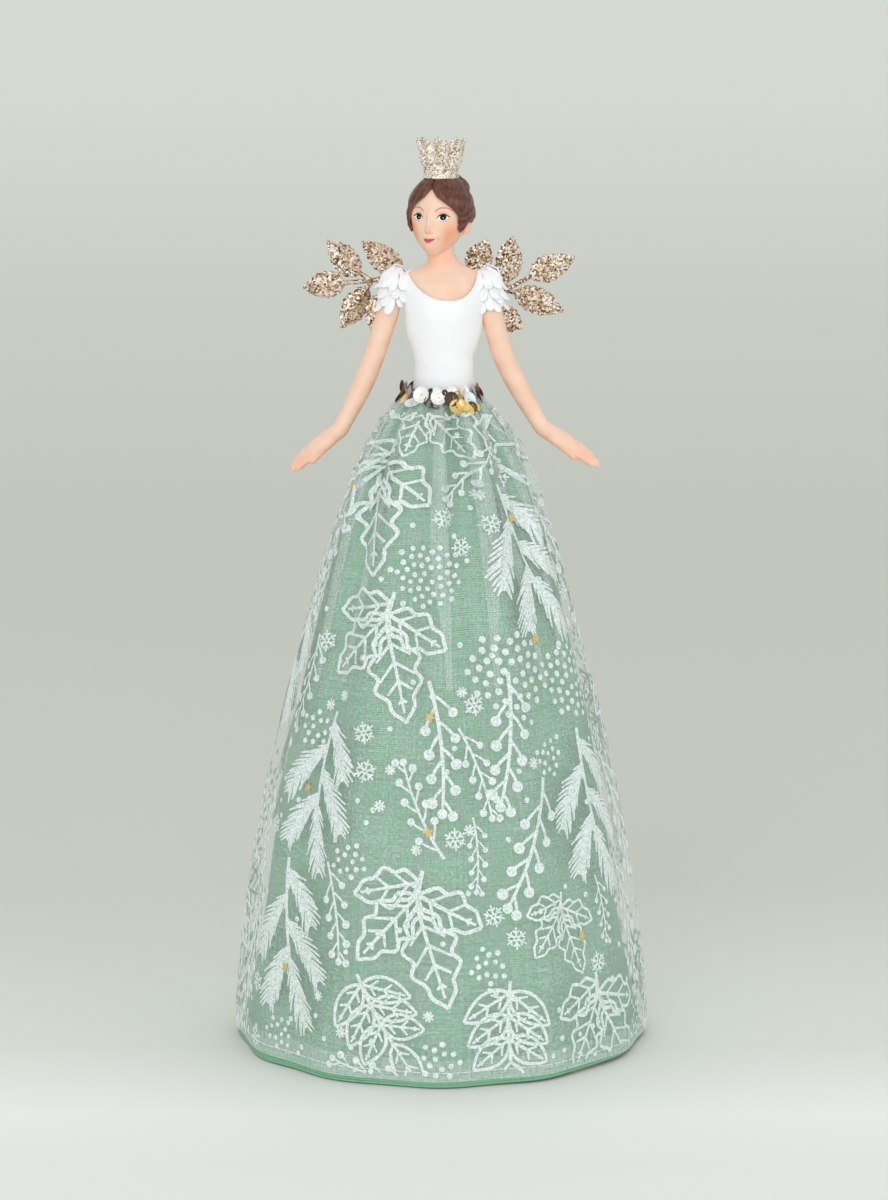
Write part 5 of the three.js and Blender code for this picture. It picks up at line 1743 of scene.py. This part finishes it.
def petal_rule(angle, tier, length, half_width, wobble, sway):
    """Returns the rule that bends one petal of the left shoulder."""
    radial = arm_radial(angle)
    across = arm_down.cross(radial).normalized()
    stand = ARM_RADIUS + 0.5 + 0.25 * (2 - tier)
    head = -5.0 + 3.5 * tier + 1.2 * (wobble - 0.3)

    def rule(u, v):
        s = 2 * u - 1
        if v < 0.72:
            width = half_width * (0.55 + 0.49 * ease(v / 0.6))
        else:
            width = half_width * 1.04 * sqrt(max(0, 1 - ((v - 0.72) / 0.285) ** 2))
        along = head + length * (v**0.92)
        root = stand * smooth_through((-5, -2.5, 0.5), (0.25, 0.8, 0.98), head)
        lift = smooth_through((0, 0.35, 0.7, 1), (root, stand * 0.98, stand + 0.4, stand + 0.9 + wobble), v)
        cup = -0.45 * s * s * (0.4 + 0.6 * v) + 0.14 * sin(6 * v + 3 * s + 5 * wobble)
        return SHOULDER + arm_down * along + radial * (lift + cup) + across * (s * width + sway * v * v)

    return rule


def cap_rule(u, v):
    """The plain cap of cloth under the petals of the left shoulder."""
    angle = 2.4 * (2 * u - 1)
    along = -4.7 + 9.0 * v
    reach = smooth_through((-4.7, -2.6, 0, 4.3), (1.0, 3.0, 3.62, 3.7), along)
    return SHOULDER + arm_down * along + arm_radial(angle) * reach


# How many petals each tier has, and half the angle that they cover round the arm
PETAL_TIERS, PETAL_FAN = (9, 10, 9), 2.1
for side, name in ((-1, "right"), (1, "left")):
    tuft = bmesh.new()
    join(tuft, bent_grid(24, 10, cap_rule, (24, 9)))
    for tier, number in enumerate(PETAL_TIERS):
        for k in range(number):
            angle = PETAL_FAN * ((k + 0.3 * (tier % 2)) / (number - 1) * 2 - 1) + pick.uniform(-0.08, 0.08)
            length = 7.0 + pick.uniform(-1.2, 1.0) - 0.5 * abs(angle)
            shape = (pick.uniform(1.2, 1.5), pick.uniform(-0.4, 1.0), pick.uniform(-1.2, 1.2))
            join(tuft, bent_grid(8, 14, petal_rule(angle, tier, length, *shape), PETAL_FLAT))
    bmesh.ops.scale(tuft, vec=(side, 1, 1), verts=tuft.verts)
    sleeve = add_piece(tuft, f"petal_tuft_{name}", petal_cloth)
    thicken(sleeve, 0.4, 0)
    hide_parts(f"petal_sleeve_{name}")

# %% [markdown]
# ## Leaf-spray wings
# Each wing is a bendable wire with five leaves cut from foam and rolled in coarse champagne glitter. A leaf is a
# thick sheet folded along its midrib, with a toothed outline and a crusty edge. The crust is noise on the points,
# and the sparkle is in the material, where each cell of glitter has its own tone and tilt.

# %% Leaves
WING_PLANE, WING_REACH, LEAF_HALF_WIDTH, LEAF_STAGGER = 10.774, 21.0, 3.75, 0.9
# Side, root and hub of each wing, and its leaves: where each leaves the stem, then (out, up) of its base and tip
WINGS = {
    "right": (
        -1,
        Vector((-5.75, WING_PLANE, 236.2)),
        Vector((-21.3, WING_PLANE, 235.8)),
        (
            (0.4, -0.43, 0.1, 0.14, 0.57), (1, 0.2, 0.08, 0.65, 0.58), (1, 0.4, -0.03, 1, -0.105),
            (1, 0.07, -0.12, 0.457, -0.695), (0.86, -0.17, -0.2, 0, -0.757),
        ),
    ),
    "left": (
        1,
        Vector((7.55, WING_PLANE, 236.2)),
        Vector((19.8, WING_PLANE, 232.8)),
        (
            (0.2, -0.486, 0.25, -0.267, 0.733), (1, 0.01, 0.12, 0.1, 0.78), (1, 0.36, 0.205, 1.01, 0.49),
            (1, 0.15, -0.03, 0.85, -0.314), (0.84, -0.2, -0.33, 0.262, -0.535),
        ),
    ),
}
WING_TONES = ((0.05, 0.02, 0.008), (0.34, 0.20, 0.11), (0.62, 0.45, 0.30), (0.86, 0.74, 0.60), (1.0, 0.98, 0.94))
wing_glitter = glitter_finish("wing_glitter", 0.5, WING_TONES, 0.32, 0.5)


# Unseeded, this noise starts from the clock, and the crust would differ from run to run
noise.seed_set(14)


def crust(point, depth):
    """A small shift that roughens a glittered surface."""
    return noise.noise_vector(point * 1.7) * depth + noise.noise_vector(point * 4.1) * depth * 0.5


LEAF_SHARES, LEAF_BULGES = (0, 0.08, 0.27, 0.46, 0.68, 0.86, 1), (0.12, 0.55, 0.95, 1, 0.82, 0.40, 0.0)


def leaf_rule(base, tip, half_width):
    along = tip - base
    back = Vector((0, 1, 0))
    across = back.cross(along).normalized()

    def rule(u, v):
        s = 2 * u - 1
        bulge = smooth_through(LEAF_SHARES, LEAF_BULGES, v)
        tooth = 1 + 0.07 * cos(2 * pi * (6.5 * v)) * bulge
        half = half_width * bulge * tooth + 0.12
        fold = 1.0 * bulge * abs(s) ** 1.3
        rib = -0.3 * bell_curve(s, 0, 0.12) * (1 - 0.6 * v)
        vein = -0.14 * bell_curve(cos(2 * pi * (5 * v - 0.9 * abs(s))), 1, 0.25) * (1 - abs(s))
        place = base + along * v + across * (s * half) + back * (fold + rib + vein)
        return place + crust(place, 0.16)

    return rule


def main_stem(root, hub, t):
    middle = root.lerp(hub, 0.5) + Vector((0, 0, 1.2))
    return root.lerp(middle, t).lerp(middle.lerp(hub, t), t)


def wire(route, radii):
    return rod([p + crust(p, 0.12) for p in route], radii, 10)


STEM_RADII = [0.55] + [0.85 + 0.12 * sin(5 * k) for k in range(23)] + [0.5]
TWIG_RADII = [0.6] + [0.72] * 11 + [0.4]
for name, (side, root, hub, rows) in WINGS.items():
    wires, spray = bmesh.new(), bmesh.new()
    join(wires, wire([main_stem(root, hub, k / 24) for k in range(25)], STEM_RADII))
    for index, (branch, *ends) in enumerate(rows):
        level = LEAF_STAGGER if index % 2 else -LEAF_STAGGER * 0.5
        base, tip = (
            Vector((hub.x + side * out * WING_REACH, WING_PLANE + level, hub.z + up * WING_REACH))
            for out, up in (ends[:2], ends[2:])
        )
        join(spray, bent_grid(26, 56, leaf_rule(base, tip, LEAF_HALF_WIDTH)))
        start, inside = main_stem(root, hub, branch), base.lerp(tip, 0.18)
        join(wires, wire([start.lerp(inside, k / 12) for k in range(13)], TWIG_RADII))
    leaves = add_piece(spray, f"glitter_leaves_{name}", wing_glitter, f"wing_{name}")
    thicken(leaves, 1.0, 0)
    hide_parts(*[f"wing_leaf_{name}_{k}" for k in range(1, 6)])
    stem = add_piece(wires, f"glitter_stem_{name}", wing_glitter, f"wing_{name}")
    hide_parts(f"wing_stem_{name}")

# %% [markdown]
# ## Felt pad
# The wires end in a small felt patch on the doll's back. Felt has no weave, only matted fibres, so its face is
# noise at two scales. The corners are bevelled round, and running stitches go round near the edge.

# %% Pad
PAD_CENTRE, PAD_SIZES, PAD_CORNER, PAD_RIM = Vector((0.9, 9.0, 236.2)), (11.2, 4.7, 7.0), 1.7, 0.5
PAD_STITCHES = 26
felt = Finish("white_felt", (0.80, 0.79, 0.76), 0.95, Sheen_Weight=0.5, Sheen_Roughness=0.7)
felt_fibre = felt.noise(felt.place(), per_mm(0.35), 5, Distortion=1.5)
felt_matting = felt.noise(felt.place(), per_mm(2.2), 3)
felt_tone = felt.ramp(felt_fibre, (0.35, (0.68, 0.67, 0.63)), (0.65, (0.90, 0.89, 0.86)))
felt.colour(felt.mix(felt_matting, felt_tone, (0.82, 0.81, 0.77)))
felt.bump(felt_fibre, 0.8, 0.2)
pad = bmesh.new()
bmesh.ops.create_cube(pad, size=1)
bmesh.ops.scale(pad, vec=PAD_SIZES, verts=pad.verts)
upright = [e for e in pad.edges if abs(e.verts[0].co.y - e.verts[1].co.y) > 1]
bmesh.ops.bevel(pad, geom=upright, offset=PAD_CORNER, segments=6, profile=0.5, affect="EDGES", material=-1)
rims = [e for e in pad.edges if e.calc_face_angle(0) > 1.2]
bmesh.ops.bevel(pad, geom=rims, offset=PAD_RIM, segments=3, profile=0.5, affect="EDGES", material=-1)
bmesh.ops.translate(pad, vec=PAD_CENTRE, verts=pad.verts)
felt_pad = add_piece(pad, "felt_pad", felt)
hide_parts("wing_pad")

def on_squircle(reach, angle):
    """A place along a round-cornered edge, by the cosine or sine of its angle."""
    return reach * copysign(abs(angle) ** 0.45, angle)


pad_stitches = bmesh.new()
for k in range(PAD_STITCHES):
    places = []
    for shift, out in ((-0.06, 2.36), (0, 2.46), (0.06, 2.36)):
        turn = 2 * pi * k / PAD_STITCHES + shift
        places.append(PAD_CENTRE + Vector((on_squircle(4.7, cos(turn)), out, on_squircle(2.6, sin(turn)))))
    join(pad_stitches, rod(places, (0.1, 0.14, 0.1), 6))
felt_stitches = add_piece(pad_stitches, "felt_stitches", thread)
